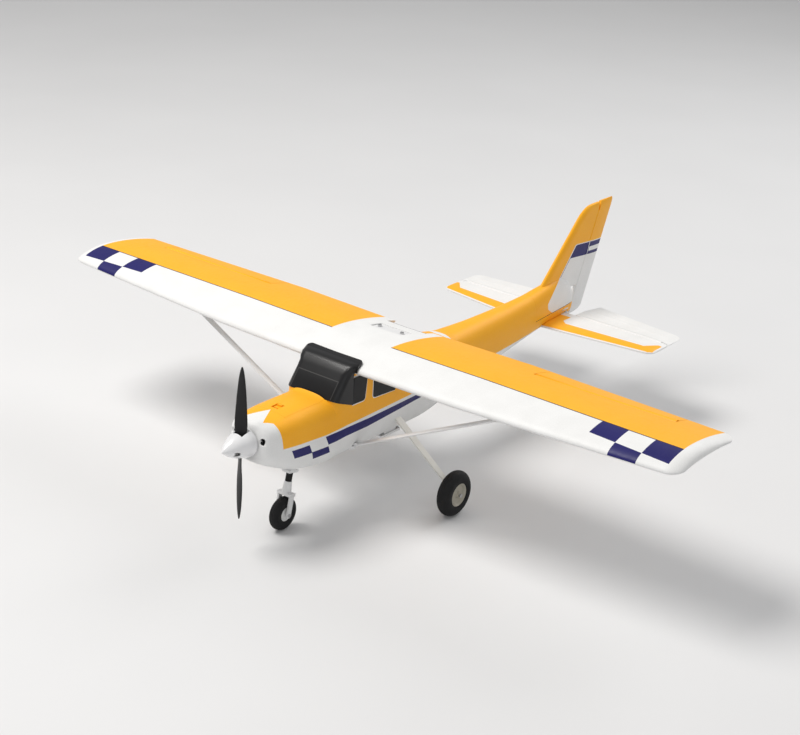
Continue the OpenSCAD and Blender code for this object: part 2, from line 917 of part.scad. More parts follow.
module elevator_rod() {
    color(steel) elevator_link_frame() pushrod(elevator_servo_x - elevator_x, arm_r);
}

// Rudder linkage: the servo leans with the rudder's hinge line, and its arm points right
module rudder_servo_frame() {
    translate([rudder_servo_x - rudder_link_x, 0, 0]) rudder_frame() children();
}

module rudder_arm() {
    color(foam_white) rudder_servo_frame() rotate([0, 0, 180]) servo_arm(rudder_arm_r);
}

module rudder_rod() {
    color(steel) {
        rudder_frame() translate([0, -rudder_arm_r, -0.6]) cylinder(r = 0.75, h = 4.8);
        rudder_servo_frame() translate([0, -rudder_arm_r, -0.6]) cylinder(r = 0.75, h = 4.8);
        rudder_frame() translate([0, -rudder_arm_r, 4.2]) rotate([0, rudder_lean, 0])
            rod_x(1, rudder_servo_x - rudder_link_x);
    }
}

// Tunnel along the rudder's pushrod, wide enough for the arm's arc
module rudder_rod_room() {
    block([-440, -rudder_arm_r - 2.5, rudder_link_z - 1], [150, -rudder_arm_r + 5, rudder_link_z + 11]);
    rudder_frame() block([-30, -rudder_arm_r - 4, -3], [14, -4.7, 7]);
}

// Steering linkage, in the nose leg's own frame
module strut_frame() {
    translate([nose_wheel_x, 0, nose_wheel_z]) rotate([0, -strut_lean, 0]) children();
}

module steering_servo_frame() {
    strut_frame() translate([-steer_servo_gap, 0, steer_s]) rotate([0, 0, 180]) children();
}

module steering_servo_arm() {
    color(foam_white) steering_servo_frame() servo_arm(arm_r);
}

module steering_rod() {
    color(steel) strut_frame() translate([-steer_servo_gap, 0, steer_s]) {
        translate([0, -arm_r, 4.2]) rod_x(1, steer_servo_gap);
        for (x = [0, steer_servo_gap]) translate([x, -arm_r, -0.6]) cylinder(r = 0.75, h = 4.8);
    }
}

module servos() {
    color("slategray") {
        both_sides() aileron_link_frame() servo();
        elevator_link_frame() servo();
        rudder_servo_frame() rotate([0, 0, 90]) servo();
        steering_servo_frame() servo();
    }
}

// ---- Nose leg ----

// Steering arm on the steel pin that the fork slides and turns on
module steering_arm() {
    color(steel) strut_frame() {
        translate([0, 0, 42]) cylinder(r = strut_pin_r, h = steer_s - 42 + slight);
        translate([0, 0, steer_s]) rotate([0, 0, 180]) difference() {
            union() {
                translate([0, 0, -2]) cylinder(r = 4.5, h = 6);
                linear_extrude(2) polygon([[-3, 0], [3, 0], [2, arm_r], [-2, arm_r]]);
                translate([0, arm_r, 0]) cylinder(r = 2, h = 2);
            }
            translate([0, arm_r, -1]) cylinder(r = 0.85, h = 5);
        }
    }
}

module nose_bearing() {
    color(foam_white) strut_frame() difference() {
        union() {
            translate([0, 0, bearing_low]) cylinder(r = 9, h = 33);
            translate([-11, -8, bearing_low - 1]) cube([22, 16, 4]);
        }
        translate([0, 0, bearing_low - 5]) cylinder(r = strut_pin_r + slack, h = 50);
    }
}

fork_top = 54;
fork_arm_in = nose_tyre_w / 2 + 1.6;

module nose_fork() {
    color(foam_white) strut_frame() difference() {
        union() {
            translate([0, 0, 34]) cylinder(r1 = 8, r2 = 6, h = fork_top - 34);
            translate([-7, -fork_arm_in - 3.4, 31]) cube([14, 2 * fork_arm_in + 6.8, 5]);
            both_sides() {
                translate([-4.5, fork_arm_in, 0]) cube([9, 3.4, 34]);
                translate([0, fork_arm_in, 0]) rotate([-90, 0, 0]) cylinder(r = 5, h = 3.4);
            }
        }
        translate([0, 0, 33]) cylinder(r = strut_pin_r + slack, h = 30);
        rod_y(1.5 + slack, 60);
    }
}

// Coil spring and its rubber sleeve, drawn as the sleeve that hides the coils
module nose_spring() {
    color(black_plastic) strut_frame() difference() {
        translate([0, 0, fork_top]) cylinder(r = 5.4, h = bearing_low - 1 - fork_top);
        translate([0, 0, fork_top - 5]) cylinder(r = strut_pin_r + 0.4, h = 40);
    }
}

module nose_axle() {
    color(steel) strut_frame() {
        rod_y(1.5, 2 * fork_arm_in + 9);
        both_sides() translate([0, fork_arm_in + 3.4, 0]) rotate([-90, 0, 0]) cylinder(r = 2.8, h = 1.8);
    }
}

// ---- Wheels ----

// Wheel disc turned about its axle, with a raised rim and boss
module hub(r, w, bore) {
    rotate([90, 0, 0]) rotate_extrude() polygon([
        [bore, -w / 2], [bore + 3.5, -w / 2], [bore + 4.5, -w / 2 + 3], [r - 5, -w / 2 + 4],
        [r - 2.5, -w / 2 + 1], [r, -w / 2 + 1], [r, w / 2 - 1], [r - 2.5, w / 2 - 1],
        [r - 5, w / 2 - 4], [bore + 4.5, w / 2 - 3], [bore + 3.5, w / 2], [bore, w / 2]
    ]);
}

// Tyre with rounded shoulders around the hub
module tyre(r_out, r_in, w) {
    rotate([90, 0, 0]) rotate_extrude($fn = 96) difference() {
        intersection() {
            translate([r_in, -w / 2]) square([r_out - r_in, w]);
            union() {
                translate([r_out - w / 2, 0]) circle(r = w / 2);
                translate([r_in, -w / 2]) square([r_out - w / 2 - r_in, w]);
            }
        }
        for (side = [-1, 1]) translate([r_out - 0.2, side * w / 9]) circle(r = 0.8, $fn = 16);
    }
}

nose_hub_r = 12;
main_hub_r = 20;

module nose_hub() {
    color(foam_white) strut_frame() hub(nose_hub_r, nose_tyre_w - 1, 1.5 + slack);
}

module nose_tyre() {
    color(black_plastic) strut_frame() tyre(nose_wheel_d / 2, nose_hub_r, nose_tyre_w);
}

module main_hub() {
    translate([main_x, wheel_track / 2, main_z]) hub(main_hub_r, main_tyre_w - 1, axle_r + slack);
}

module main_tyre() {
    translate([main_x, wheel_track / 2, main_z]) tyre(main_wheel_d / 2, main_hub_r, main_tyre_w);
}

module left_main_hub() {
    color(foam_white) main_hub();
}

module left_main_tyre() {
    color(black_plastic) main_tyre();
}

module right_main_hub() {
    color(foam_white) mirror([0, 1, 0]) main_hub();
}

module right_main_tyre() {
    color(black_plastic) mirror([0, 1, 0]) main_tyre();
}

// ---- Main gear ----

leg_bend_y = 40;
leg_foot_y = wheel_track / 2 - main_tyre_w / 2 - 5;
leg_foot_z = main_z + 16;

// Side view of the leg from the front: flat middle, sloping legs and upright feet
module leg_sweep(half_w, grow) {
    slope = atan2(leg_top_z - leg_foot_z, leg_foot_y - leg_bend_y);
    rise = (leg_t + 2 * grow) / cos(slope);
    low = leg_top_z - grow;
    drop = leg_foot_z - leg_t / cos(slope) / 2 - grow;
    translate([main_x - half_w, 0, 0]) rotate([90, 0, 90]) linear_extrude(2 * half_w) polygon([
        [-leg_foot_y, drop], [-leg_bend_y, low], [leg_bend_y, low], [leg_foot_y, drop],
        [leg_foot_y, drop + rise], [leg_bend_y + 1, low + leg_t + 2 * grow],
        [-leg_bend_y - 1, low + leg_t + 2 * grow], [-leg_foot_y, drop + rise]
    ]);
}

module main_gear_leg() {
    color("gainsboro") difference() {
        union() {
            intersection() {
                leg_sweep(leg_w / 2, 0);
                linear_extrude(300) polygon([
                    for (side = [1, -1]) each [
                        [main_x - side * 5, -side * leg_foot_y], [main_x - side * 7, -side * leg_bend_y],
                        [main_x - side * 7, side * leg_bend_y], [main_x - side * 5, side * leg_foot_y]
                    ]
                ]);
            }
            both_sides() {
                translate([main_x - 5, leg_foot_y - 3, main_z]) cube([10, 4.5, leg_foot_z - main_z + 1.5]);
                translate([main_x, leg_foot_y - 3, main_z]) rotate([-90, 0, 0]) cylinder(r = 5, h = 4.5);
            }
        }
        translate([main_x, 0, main_z]) rod_y(axle_r + slack, 400);
        at_gear_screws() translate([0, 0, 100]) cylinder(r = 1.7, h = 60);
    }
}

module main_axles() {
    y_in = leg_foot_y - 6;
    y_out = wheel_track / 2 + main_tyre_w / 2 + 2;
    color(steel) both_sides() translate([main_x, 0, main_z]) {
        translate([0, y_in, 0]) rotate([-90, 0, 0]) cylinder(r = axle_r, h = y_out - y_in);
        translate([0, y_in - 2, 0]) rotate([-90, 0, 0]) cylinder(r = 3.4, h = 4.8);
        translate([0, y_out - 1.6, 0]) rotate([-90, 0, 0]) cylinder(r = 3.2, h = 2.4);
    }
}

module at_gear_screws() {
    for (x = [-4, 4]) for (y = [-22, 22]) translate([main_x + x, y, 0]) children();
}

// Moulded block in the belly that the leg bolts to, flat underneath
module gear_plate() {
    color(foam_white) difference() {
        union() {
            block([main_x - 25, -32, 99.6], [main_x + 25, 32, 104]);
            block([main_x - 16, -30, 104 - slight], [main_x + 16, 30, leg_top_z]);
        }
        at_gear_screws() {
            translate([0, 0, 90]) cylinder(r = 1.7, h = 60);
            translate([0, 0, 90]) cylinder(r = 3.2, h = 13);
        }
        block([main_x - 13, -18, 106], [main_x + 13, 18, leg_top_z - 3]);
    }
}

module airframe_screws() {
    color(steel) at_gear_screws() {
        translate([0, 0, 100.6]) cylinder(r = 3, h = 2.4);
        translate([0, 0, 102]) cylinder(r = 1.5, h = 37.5);
    }
}

// ---- Power train ----

module on_shaft(x) {
    translate([x, 0, shaft_z]) rotate([0, 90, 0]) children();
}

module motor_mount() {
    color(black_plastic) difference() {
        union() {
            on_shaft(430) cylinder(r = 22, h = 4);
            for (a = [45:90:315]) on_shaft(418) rotate([0, 0, a]) translate([17, 0, 0])
                cylinder(r = 3, h = 12 + slight);
        }
        on_shaft(425) cylinder(r = 4, h = 20);
    }
}

module motor_stator() {
    color("#555a60") difference() {
        union() {
            on_shaft(434) cylinder(r = 13, h = 3);
            on_shaft(437 - slight) cylinder(r = 4.5, h = 20);
            on_shaft(440) cylinder(r = 10.5, h = 14);
        }
        on_shaft(425) cylinder(r = 1.5 + slack, h = 40);
    }
}

module motor_bell() {
    color(steel) {
        difference() {
            on_shaft(438) cylinder(r = 14, h = 25);
            on_shaft(436) cylinder(r = 11.5, h = 23);
            for (a = [0:60:300]) on_shaft(458) rotate([0, 0, a]) translate([8, 0, 0]) cylinder(r = 2, h = 10);
        }
        on_shaft(434) cylinder(r = 1.5, h = 30);
        on_shaft(463 - slight) cylinder(r = 4.5, h = 21);
        on_shaft(480) cylinder(r = 3, h = 31);
        difference() {
            on_shaft(503) cylinder(r = 6, h = 6, $fn = 6);
            on_shaft(500) cylinder(r = 2.9, h = 12);
        }
    }
}

propeller_x = 490;
propeller_hub_l = 13;

function blade_chord(r) = let (u = (r - 20) / (propeller_d / 2 - 20))
    20.5 * sqrt(max(0.02, 1 - pow(u, 2.6))) * (1 - 0.18 * u);
function blade_pitch(r) = atan(propeller_pitch / (2 * PI * r));

// Outline of a blade section, as shares of its chord and of its height
blade_outline = [
    [-0.5, 0], [-0.3, -0.3], [0, -0.3], [0.38, -0.4], [0.5, 0], [0.38, 0.7], [0.1, 1], [-0.25, 0.8]
];

// Section of the upper blade at radius r, as a thin lens turned to the pitch
function blade_section(r) =
    let (c = blade_chord(r), h = c * 0.07 + 0.5, a = blade_pitch(r), mid = propeller_x + propeller_hub_l / 2)
    [for (p = blade_outline)
        let (u = p[0] * c, v = p[1] * h)
        [mid + u * sin(a) + v * cos(a), -u * cos(a) + v * sin(a), shaft_z + r]];

module propeller() {
    color(black_plastic) difference() {
        moulded() union() {
            on_shaft(propeller_x) cylinder(r = 10, h = propeller_hub_l);
            for (turn = [0, 180]) translate([0, 0, shaft_z]) rotate([turn, 0, 0]) translate([0, 0, -shaft_z])
                loft([for (r = [7, 16, 30, 50, 70, 90, 108, 120, propeller_d / 2]) blade_section(r)]);
        }
        on_shaft(propeller_x - 5) cylinder(r = 3 + slack, h = 40);
    }
}

spinner_base = 484;
spinner_tip = 537;
spinner_r = spinner_d / 2;
function spinner_radius(u, inset) = max(0, (spinner_r - inset) * (1 - pow(u, 1.45)));

module spinner() {
    l = spinner_tip - spinner_base - 2;
    color(foam_white) {
        on_shaft(spinner_base) difference() {
            cylinder(r = spinner_r, h = 2);
            translate([0, 0, -1]) cylinder(r = 4.6, h = 5);
        }
        difference() {
            on_shaft(spinner_base + 2) rotate_extrude() polygon([
                for (u = [0:0.1:1]) [spinner_radius(u, 0), u * l],
                for (u = [0.9:-0.15:0]) [spinner_radius(u, 1.6), u * (l - 2)]
            ]);
            for (side = [0, 180]) on_shaft(spinner_base + 2) rotate([0, 0, side])
                block([7, -13, -slight], [40, 13, 20]);
        }
    }
}

// ---- Equipment ----

module equipment_tray() {
    color("burlywood") difference() {
        block([185, -38, tray_z], [438, 38, tray_z + tray_t]);
        for (x = [262, 396]) block([x, 22, tray_z - 1], [x + 12, 32, tray_z + 5]);
    }
}

module battery() {
    color("royalblue") block([276, -18, tray_z + tray_t + slack], [386, 18, tray_z + tray_t + 27]);
}

module receiver() {
    color("#2b2b2e") block([206, -13, tray_z + tray_t + slack], [254, 13, tray_z + tray_t + 15]);
}

module speed_controller() {
    color("darkred") block([390, -22, tray_z + tray_t + slack], [416, 22, tray_z + tray_t + 10]);
}

fuselage_left();
fuselage_right();
motor_mount();
motor_stator();
speed_controller();
battery();
receiver();
equipment_tray();
servos();
side_windows();
left_wing();
right_wing();
wing_tube();
wing_plate();
wing_screws();
left_wing_strut();
right_wing_strut();
strut_brackets();
gear_plate();
main_gear_leg();
airframe_screws();
main_axles();
stabilizer();
fin();
hinge_pins();
nose_bearing();
propeller();
spinner();
motor_bell();
left_aileron();
right_aileron();
left_aileron_horn();
right_aileron_horn();
elevator();
elevator_joiner();
rudder();
rudder_horn();
left_aileron_arm();
right_aileron_arm();
elevator_arm();
rudder_arm();
steering_servo_arm();
left_aileron_rod();
right_aileron_rod();
elevator_rod();
rudder_rod();
steering_rod();
steering_arm();
nose_fork();
nose_spring();
nose_axle();
nose_hub();
nose_tyre();
left_main_hub();
left_main_tyre();
right_main_hub();
right_main_tyre();
hatch_deck();
windscreen();
hatch_latch();
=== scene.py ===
"""Looks for the foam trainer aeroplane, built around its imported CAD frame.

Lengths are written in millimetres in the part's own frame (+X nose, +Y left wing, +Z up)
and become metres when a mesh is made.
"""

import json
import math

import bpy
import bmesh
from mathutils import Matrix, Vector


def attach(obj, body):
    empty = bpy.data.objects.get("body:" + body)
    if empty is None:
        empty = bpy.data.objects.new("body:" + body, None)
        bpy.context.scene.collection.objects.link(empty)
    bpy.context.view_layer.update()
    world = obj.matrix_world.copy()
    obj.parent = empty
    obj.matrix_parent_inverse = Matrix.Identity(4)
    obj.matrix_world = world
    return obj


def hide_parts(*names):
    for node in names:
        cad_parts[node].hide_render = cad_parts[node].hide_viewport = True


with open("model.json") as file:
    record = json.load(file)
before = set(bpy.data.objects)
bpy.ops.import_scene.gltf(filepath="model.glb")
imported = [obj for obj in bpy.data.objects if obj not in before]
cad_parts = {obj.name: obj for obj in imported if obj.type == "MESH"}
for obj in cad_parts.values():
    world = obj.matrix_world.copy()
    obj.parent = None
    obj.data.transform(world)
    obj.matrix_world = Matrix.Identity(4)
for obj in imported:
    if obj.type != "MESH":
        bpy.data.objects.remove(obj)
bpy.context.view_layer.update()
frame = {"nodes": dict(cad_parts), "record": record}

MM = 0.001
NODES = frame["nodes"]

# ---- camera, floor and light ----

# Camera: the point it looks at and its distance in metres, the way back to it, and its lens in mm
TARGET = Vector((0.0653, -0.0306, 0.1707))
BACK = Vector((0.7397, 0.5486, 0.3898)).normalized()
DISTANCE = 2.9687
ROLL = math.radians(3.551)
LENS = 78.61
SENSOR = 36.0
# Area lights: name, place and diameter in metres, watts, colour
LIGHTS = [
    ("key_light", (1.6, -1.6, 3.9), 2.2, 150, (1.0, 0.98, 0.95)),
    ("fill_light", (2.6, 3.2, 1.6), 3.0, 14, (0.95, 0.97, 1.0)),
    ("rim_light", (-3.0, 0.5, 2.6), 2.4, 40, (1.0, 1.0, 1.0)),
]
SKY_STRENGTH = 0.42
FLOOR_HALF = 30.0


def add_object(name, data):
    obj = bpy.data.objects.new(name, data)
    bpy.context.scene.collection.objects.link(obj)
    return obj


def make_camera():
    data = bpy.data.cameras.new("camera")
    data.lens = LENS
    data.sensor_width = SENSOR
    camera = add_object("camera", data)
    right = (-BACK).cross(Vector((0, 0, 1))).normalized()
    up = right.cross(-BACK)
    turned_right = right * math.cos(ROLL) + up * math.sin(ROLL)
    turned_up = up * math.cos(ROLL) - right * math.sin(ROLL)
    facing = Matrix((turned_right, turned_up, BACK)).transposed().to_4x4()
    camera.matrix_world = Matrix.Translation(TARGET + BACK * DISTANCE) @ facing
    bpy.context.scene.camera = camera


def make_light(name, place, size, watts, colour):
    data = bpy.data.lights.new(name, "AREA")
    data.shape = "DISK"
    data.size = size
    data.energy = watts
    data.color = colour
    light = add_object(name, data)
    aim = (TARGET - Vector(place)).to_track_quat("-Z", "Y")
    light.matrix_world = Matrix.Translation(place) @ aim.to_matrix().to_4x4()


def make_studio():
    for light in LIGHTS:
        make_light(*light)
    world = bpy.data.worlds.new("studio")
    world.use_nodes = True
    sky = world.node_tree.nodes["Background"].inputs
    sky["Color"].default_value = (1, 1, 1, 1)
    sky["Strength"].default_value = SKY_STRENGTH
    bpy.context.scene.world = world
    bpy.context.scene.view_settings.view_transform = "Standard"
    half = FLOOR_HALF / MM
    corners = [(x * half, y * half, 0) for x, y in ((-1, -1), (1, -1), (1, 1), (-1, 1))]
    floor = new_object("studio_floor", corners, [(0, 1, 2, 3)])
    floor.data.materials.append(floor_paint())


# ---- mesh helpers ----


def new_object(name, points, faces):
    mesh = bpy.data.meshes.new(name)
    mesh.from_pydata([tuple(c * MM for c in p) for p in points], [], faces)
    mesh.update()
    return add_object(name, mesh)


def turn_outwards(obj):
    shape = bmesh.new()
    shape.from_mesh(obj.data)
    bmesh.ops.recalc_face_normals(shape, faces=shape.faces)
    shape.to_mesh(obj.data)
    shape.free()
    return obj


def loft(name, rings):
    """Closed solid skinned over rings of points, all with the same number of points."""
    count = len(rings[0])
    points = [p for ring in rings for p in ring]
    faces = []
    for start in range(0, (len(rings) - 1) * count, count):
        for j in range(count):
            k = (j + 1) % count
            faces.append((start + j, start + k, start + count + k, start + count + j))
    faces.append(tuple(range(count)))
    faces.append(tuple(range((len(rings) - 1) * count, len(rings) * count)))
    return turn_outwards(new_object(name, points, faces))


def box(name, low, high):
    corners = [(x, y, z) for x in (low[0], high[0]) for y in (low[1], high[1]) for z in (low[2], high[2])]
    faces = [(0, 1, 3, 2), (4, 6, 7, 5), (0, 4, 5, 1), (2, 3, 7, 6), (0, 2, 6, 4), (1, 5, 7, 3)]
    return turn_outwards(new_object(name, corners, faces))


def revolve(name, profile, at, axis="X", segments=72):
    """Solid turned about an axis through a point. The profile is (distance along, radius)."""
    rings = []
    for along, radius in profile:
        ring = []
        for i in range(segments):
            a = 2 * math.pi * i / segments
            u, v = radius * math.cos(a), radius * math.sin(a)
            offset = {"X": (along, u, v), "Y": (u, along, v), "Z": (u, v, along)}[axis]
            ring.append(tuple(a + b for a, b in zip(at, offset)))
        rings.append(ring)
    return loft(name, rings)


def bake_modifiers(obj):
    """Turns an object's modifiers into its mesh."""
    graph = bpy.context.evaluated_depsgraph_get()
    mesh = bpy.data.meshes.new_from_object(obj.evaluated_get(graph))
    obj.modifiers.clear()
    obj.data = mesh
    return obj


def boolean(obj, operation, cutters):
    """Cuts with, joins or keeps what is inside other solids, which are then deleted."""
    for cutter in cutters:
        change = obj.modifiers.new("shape", "BOOLEAN")
        change.operation = operation
        change.solver = "MANIFOLD"
        change.object = cutter
    bake_modifiers(obj)
    for cutter in cutters:
        bpy.data.objects.remove(cutter)
    return obj


def cut(obj, *cutters):
    return boolean(obj, "DIFFERENCE", cutters)


def join(obj, *others):
    return boolean(obj, "UNION", others)


def keep(obj, *others):
    return boolean(obj, "INTERSECT", others)


def sine(degrees):
    return math.sin(math.radians(degrees))


def cosine(degrees):
    return math.cos(math.radians(degrees))


def shift(x, y, z):
    """Move by a distance in millimetres."""
    return Matrix.Translation((x * MM, y * MM, z * MM))


def turn(degrees, axis):
    return Matrix.Rotation(math.radians(degrees), 4, axis)


def placed(obj, matrix):
    """Moves an object's mesh, not the object."""
    obj.data.transform(matrix)
    return obj


def duplicate(obj, name):
    return add_object(name, obj.data.copy())


def mirrored(obj, name):
    """Copy of an object on the other side of the aeroplane."""
    copy = placed(duplicate(obj, name), Matrix.Scale(-1, 4, (0, 1, 0)))
    copy.data.flip_normals()
    return copy


def prism(name, outline, low, high):
    """Solid with one outline in X and Y between two heights."""
    return loft(name, [[(x, y, z) for x, y in outline] for z in (low, high)])


def smooth(obj, degrees=32):
    for face in obj.data.polygons:
        face.use_smooth = True
    obj.data.set_sharp_from_angle(angle=math.radians(degrees))
    return obj


def soften(obj, width, segments=2, degrees=40):
    """Rounds an object's hard edges by a width in millimetres."""
    edge = obj.modifiers.new("edges", "BEVEL")
    edge.width = width * MM
    edge.segments = segments
    edge.limit_method = "ANGLE"
    edge.angle_limit = math.radians(degrees)
    return obj


def finish_piece(obj, body, slot, material, *nodes):
    """Paints a piece, makes it move with a body and lets it stand for CAD nodes."""
    obj.data.materials.clear()
    obj.data.materials.append(material)
    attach(obj, body)
    if nodes:
        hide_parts(*nodes)
    return obj


def lerp(a, b, t):
    return a + (b - a) * t


def monotone(xs, ys):
    """Smooth curve through points that never overshoots them, as a function of x."""
    n = len(xs)
    slopes = [(ys[i + 1] - ys[i]) / (xs[i + 1] - xs[i]) for i in range(n - 1)]
    tangents = [slopes[0]]
    for a, b in zip(slopes, slopes[1:]):
        tangents.append(0.0 if a * b <= 0 else 2 * a * b / (a + b))
    tangents.append(slopes[-1])

    def at(x):
        i = max(0, min(n - 2, sum(1 for v in xs[1:] if v < x)))
        h = xs[i + 1] - xs[i]
        t = (x - xs[i]) / h
        return (
            (1 + 2 * t) * (1 - t) ** 2 * ys[i]
            + t * (1 - t) ** 2 * h * tangents[i]
            + t * t * (3 - 2 * t) * ys[i + 1]
            + t * t * (t - 1) * h * tangents[i + 1]
        )

    return at


# ---- material helpers ----


class Paint:
    """One procedural material. Numbers and sockets mix freely in its calls."""

    def __init__(self, name):
        self.material = bpy.data.materials.new(name)
        self.material.use_nodes = True
        self.tree = self.material.node_tree
        self.tree.nodes.clear()
        self.output = self.tree.nodes.new("ShaderNodeOutputMaterial")
        self.shader = self.tree.nodes.new("ShaderNodeBsdfPrincipled")
        self.tree.links.new(self.shader.outputs["BSDF"], self.output.inputs["Surface"])
        self.coords = self.tree.nodes.new("ShaderNodeTexCoord")
        scale = self.node("ShaderNodeVectorMath", {"operation": "MULTIPLY"})
        self.put(scale.inputs[0], self.coords.outputs["Object"])
        scale.inputs[1].default_value = (1 / MM, 1 / MM, 1 / MM)
        self.place = scale.outputs[0]
        parts = self.node("ShaderNodeSeparateXYZ")
        self.put(parts.inputs[0], self.place)
        self.x, self.y, self.z = parts.outputs
        self.side = self.math("ABSOLUTE", self.y)

    def node(self, kind, settings=None):
        node = self.tree.nodes.new(kind)
        for key, value in (settings or {}).items():
            setattr(node, key, value)
        return node

    def put(self, socket, value):
        if isinstance(value, bpy.types.NodeSocket):
            self.tree.links.new(value, socket)
        elif isinstance(value, (tuple, list)) and len(value) == 3 and socket.type == "RGBA":
            socket.default_value = (*value, 1.0)
        else:
            socket.default_value = value

    def math(self, operation, *values):
        node = self.node("ShaderNodeMath", {"operation": operation})
        for socket, value in zip(node.inputs, values):
            self.put(socket, value)
        return node.outputs[0]

    def scaled(self, value, factor, start):
        return self.math("MULTIPLY_ADD", value, factor, start)

    def minus(self, a, b):
        return self.math("SUBTRACT", a, b)

    def over(self, value, limit):
        return self.math("GREATER_THAN", value, limit)

    def under(self, value, limit):
        return self.math("LESS_THAN", value, limit)

    def both(self, *masks):
        found = masks[0]
        for mask in masks[1:]:
            found = self.math("MULTIPLY", found, mask)
        return found

    def either(self, *masks):
        found = masks[0]
        for mask in masks[1:]:
            found = self.math("MAXIMUM", found, mask)
        return found

    def no(self, mask):
        return self.minus(1.0, mask)

    def between(self, value, low, high):
        return self.both(self.over(value, low), self.under(value, high))

    def left_of(self, u, v, start, end):
        """1 on the left of the line from start to end, in the plane of u and v."""
        du, dv = end[0] - start[0], end[1] - start[1]
        across = self.math("MULTIPLY", v, du)
        along = self.math("MULTIPLY", u, dv)
        return self.over(self.minus(across, along), du * start[1] - dv * start[0])

    def polygon(self, u, v, corners):
        """1 inside a convex outline whose corners run anticlockwise."""
        return self.both(*[self.left_of(u, v, a, b) for a, b in zip(corners, corners[1:] + corners[:1])])

    def mix(self, mask, low, high):
        node = self.node("ShaderNodeMix", {"data_type": "RGBA", "clamp_factor": True})
        self.put(node.inputs[0], mask)
        self.put(node.inputs[6], low)
        self.put(node.inputs[7], high)
        return node.outputs[2]

    def ramp(self, value, low, high):
        """Value from 0..1 turned to low..high."""
        return self.scaled(value, high - low, low)

    def noise(self, size, detail=2.0, rough=0.5, place=None):
        """Noise whose features are about size millimetres across."""
        node = self.node("ShaderNodeTexNoise")
        self.put(node.inputs["Vector"], place or self.place)
        node.inputs["Scale"].default_value = 1.0 / size
        node.inputs["Detail"].default_value = detail
        node.inputs["Roughness"].default_value = rough
        return node.outputs["Fac"]

    def cells(self, size):
        """Distance to the border between beads about size millimetres across."""
        node = self.node("ShaderNodeTexVoronoi", {"feature": "DISTANCE_TO_EDGE"})
        self.put(node.inputs["Vector"], self.place)
        node.inputs["Scale"].default_value = 1.0 / size
        return node.outputs["Distance"]

    def stretched(self, along, size, detail=3.0):
        """Noise drawn out along one axis, as brushing or drawing leaves it."""
        stretch = self.node("ShaderNodeVectorMath", {"operation": "MULTIPLY"})
        self.put(stretch.inputs[0], self.place)
        stretch.inputs[1].default_value = tuple(0.03 if axis == along else 1.0 for axis in "XYZ")
        return self.noise(size, detail, place=stretch.outputs[0])

    def bump(self, height, depth, strength=1.0, under=None):
        """Adds relief: depth is the height of a full step, in millimetres."""
        node = self.node("ShaderNodeBump")
        self.put(node.inputs["Height"], height)
        node.inputs["Distance"].default_value = depth * MM
        node.inputs["Strength"].default_value = strength
        if under is not None:
            self.put(node.inputs["Normal"], under)
        return node.outputs[0]

    def finish(self, colour, roughness, normal=None, **others):
        self.put(self.shader.inputs["Base Color"], colour)
        self.put(self.shader.inputs["Roughness"], roughness)
        if normal is not None:
            self.put(self.shader.inputs["Normal"], normal)
        for key, value in others.items():
            self.put(self.shader.inputs[key.replace("_", " ").title().replace("Ior", "IOR")], value)
        return self.material


ORANGE = (1.0, 0.47, 0.016)
ORANGE_DEEP = (0.95, 0.385, 0.010)
WHITE = (0.86, 0.86, 0.855)
WHITE_DULL = (0.76, 0.76, 0.75)
NAVY = (0.012, 0.010, 0.135)
NAVY_DARK = (0.007, 0.006, 0.095)
# Black for painted shade in holes and slots.
SHADE_BLACK = (0.012, 0.012, 0.013)
# Dark colour for printed trim lines and for painted shadow in gaps and joints.
LINE_AND_SHADOW = (0.018, 0.016, 0.03)


def foam(name, orange=None, navy=None, line=None, black=None):
    """Painted bead foam. Each argument is a function that gives a mask from the paint."""
    p = Paint(name)
    patches = p.noise(38, 3)
    white = p.mix(patches, WHITE, WHITE_DULL)
    colour = white
    decal = None
    if orange:
        decal = orange(p)
        colour = p.mix(decal, colour, p.mix(p.ramp(patches, 0.0, 0.55), ORANGE, ORANGE_DEEP))
    if navy:
        mask = navy(p)
        decal = p.either(decal, mask) if decal is not None else mask
        colour = p.mix(mask, colour, p.mix(patches, NAVY, NAVY_DARK))
    # The line mask paints printed trim lines and painted shadow at gaps and joints.
    if line:
        colour = p.mix(line(p), colour, LINE_AND_SHADOW)
    # The black mask paints shade into recesses such as the air inlets' throats.
    if black:
        colour = p.mix(black(p), colour, SHADE_BLACK)
    # The bead borders are darkened a little: painted shade in the grooves between beads.
    beads = p.math("MINIMUM", p.cells(3.2), 0.18)
    colour = p.mix(p.ramp(p.math("DIVIDE", beads, 0.18), 0.035, 0.0), colour, (0.1, 0.09, 0.08))
    relief = p.bump(beads, 0.35, 0.35)
    relief = p.bump(p.noise(0.9, 2), 0.10, 0.25, relief)
    relief = p.bump(p.noise(60, 1), 1.2, 0.25, relief)
    rough = p.ramp(p.noise(7, 2), 0.36, 0.56)
    return p.finish(colour, rough, relief, specular_ior_level=0.28, coat_weight=0.04, coat_roughness=0.25)


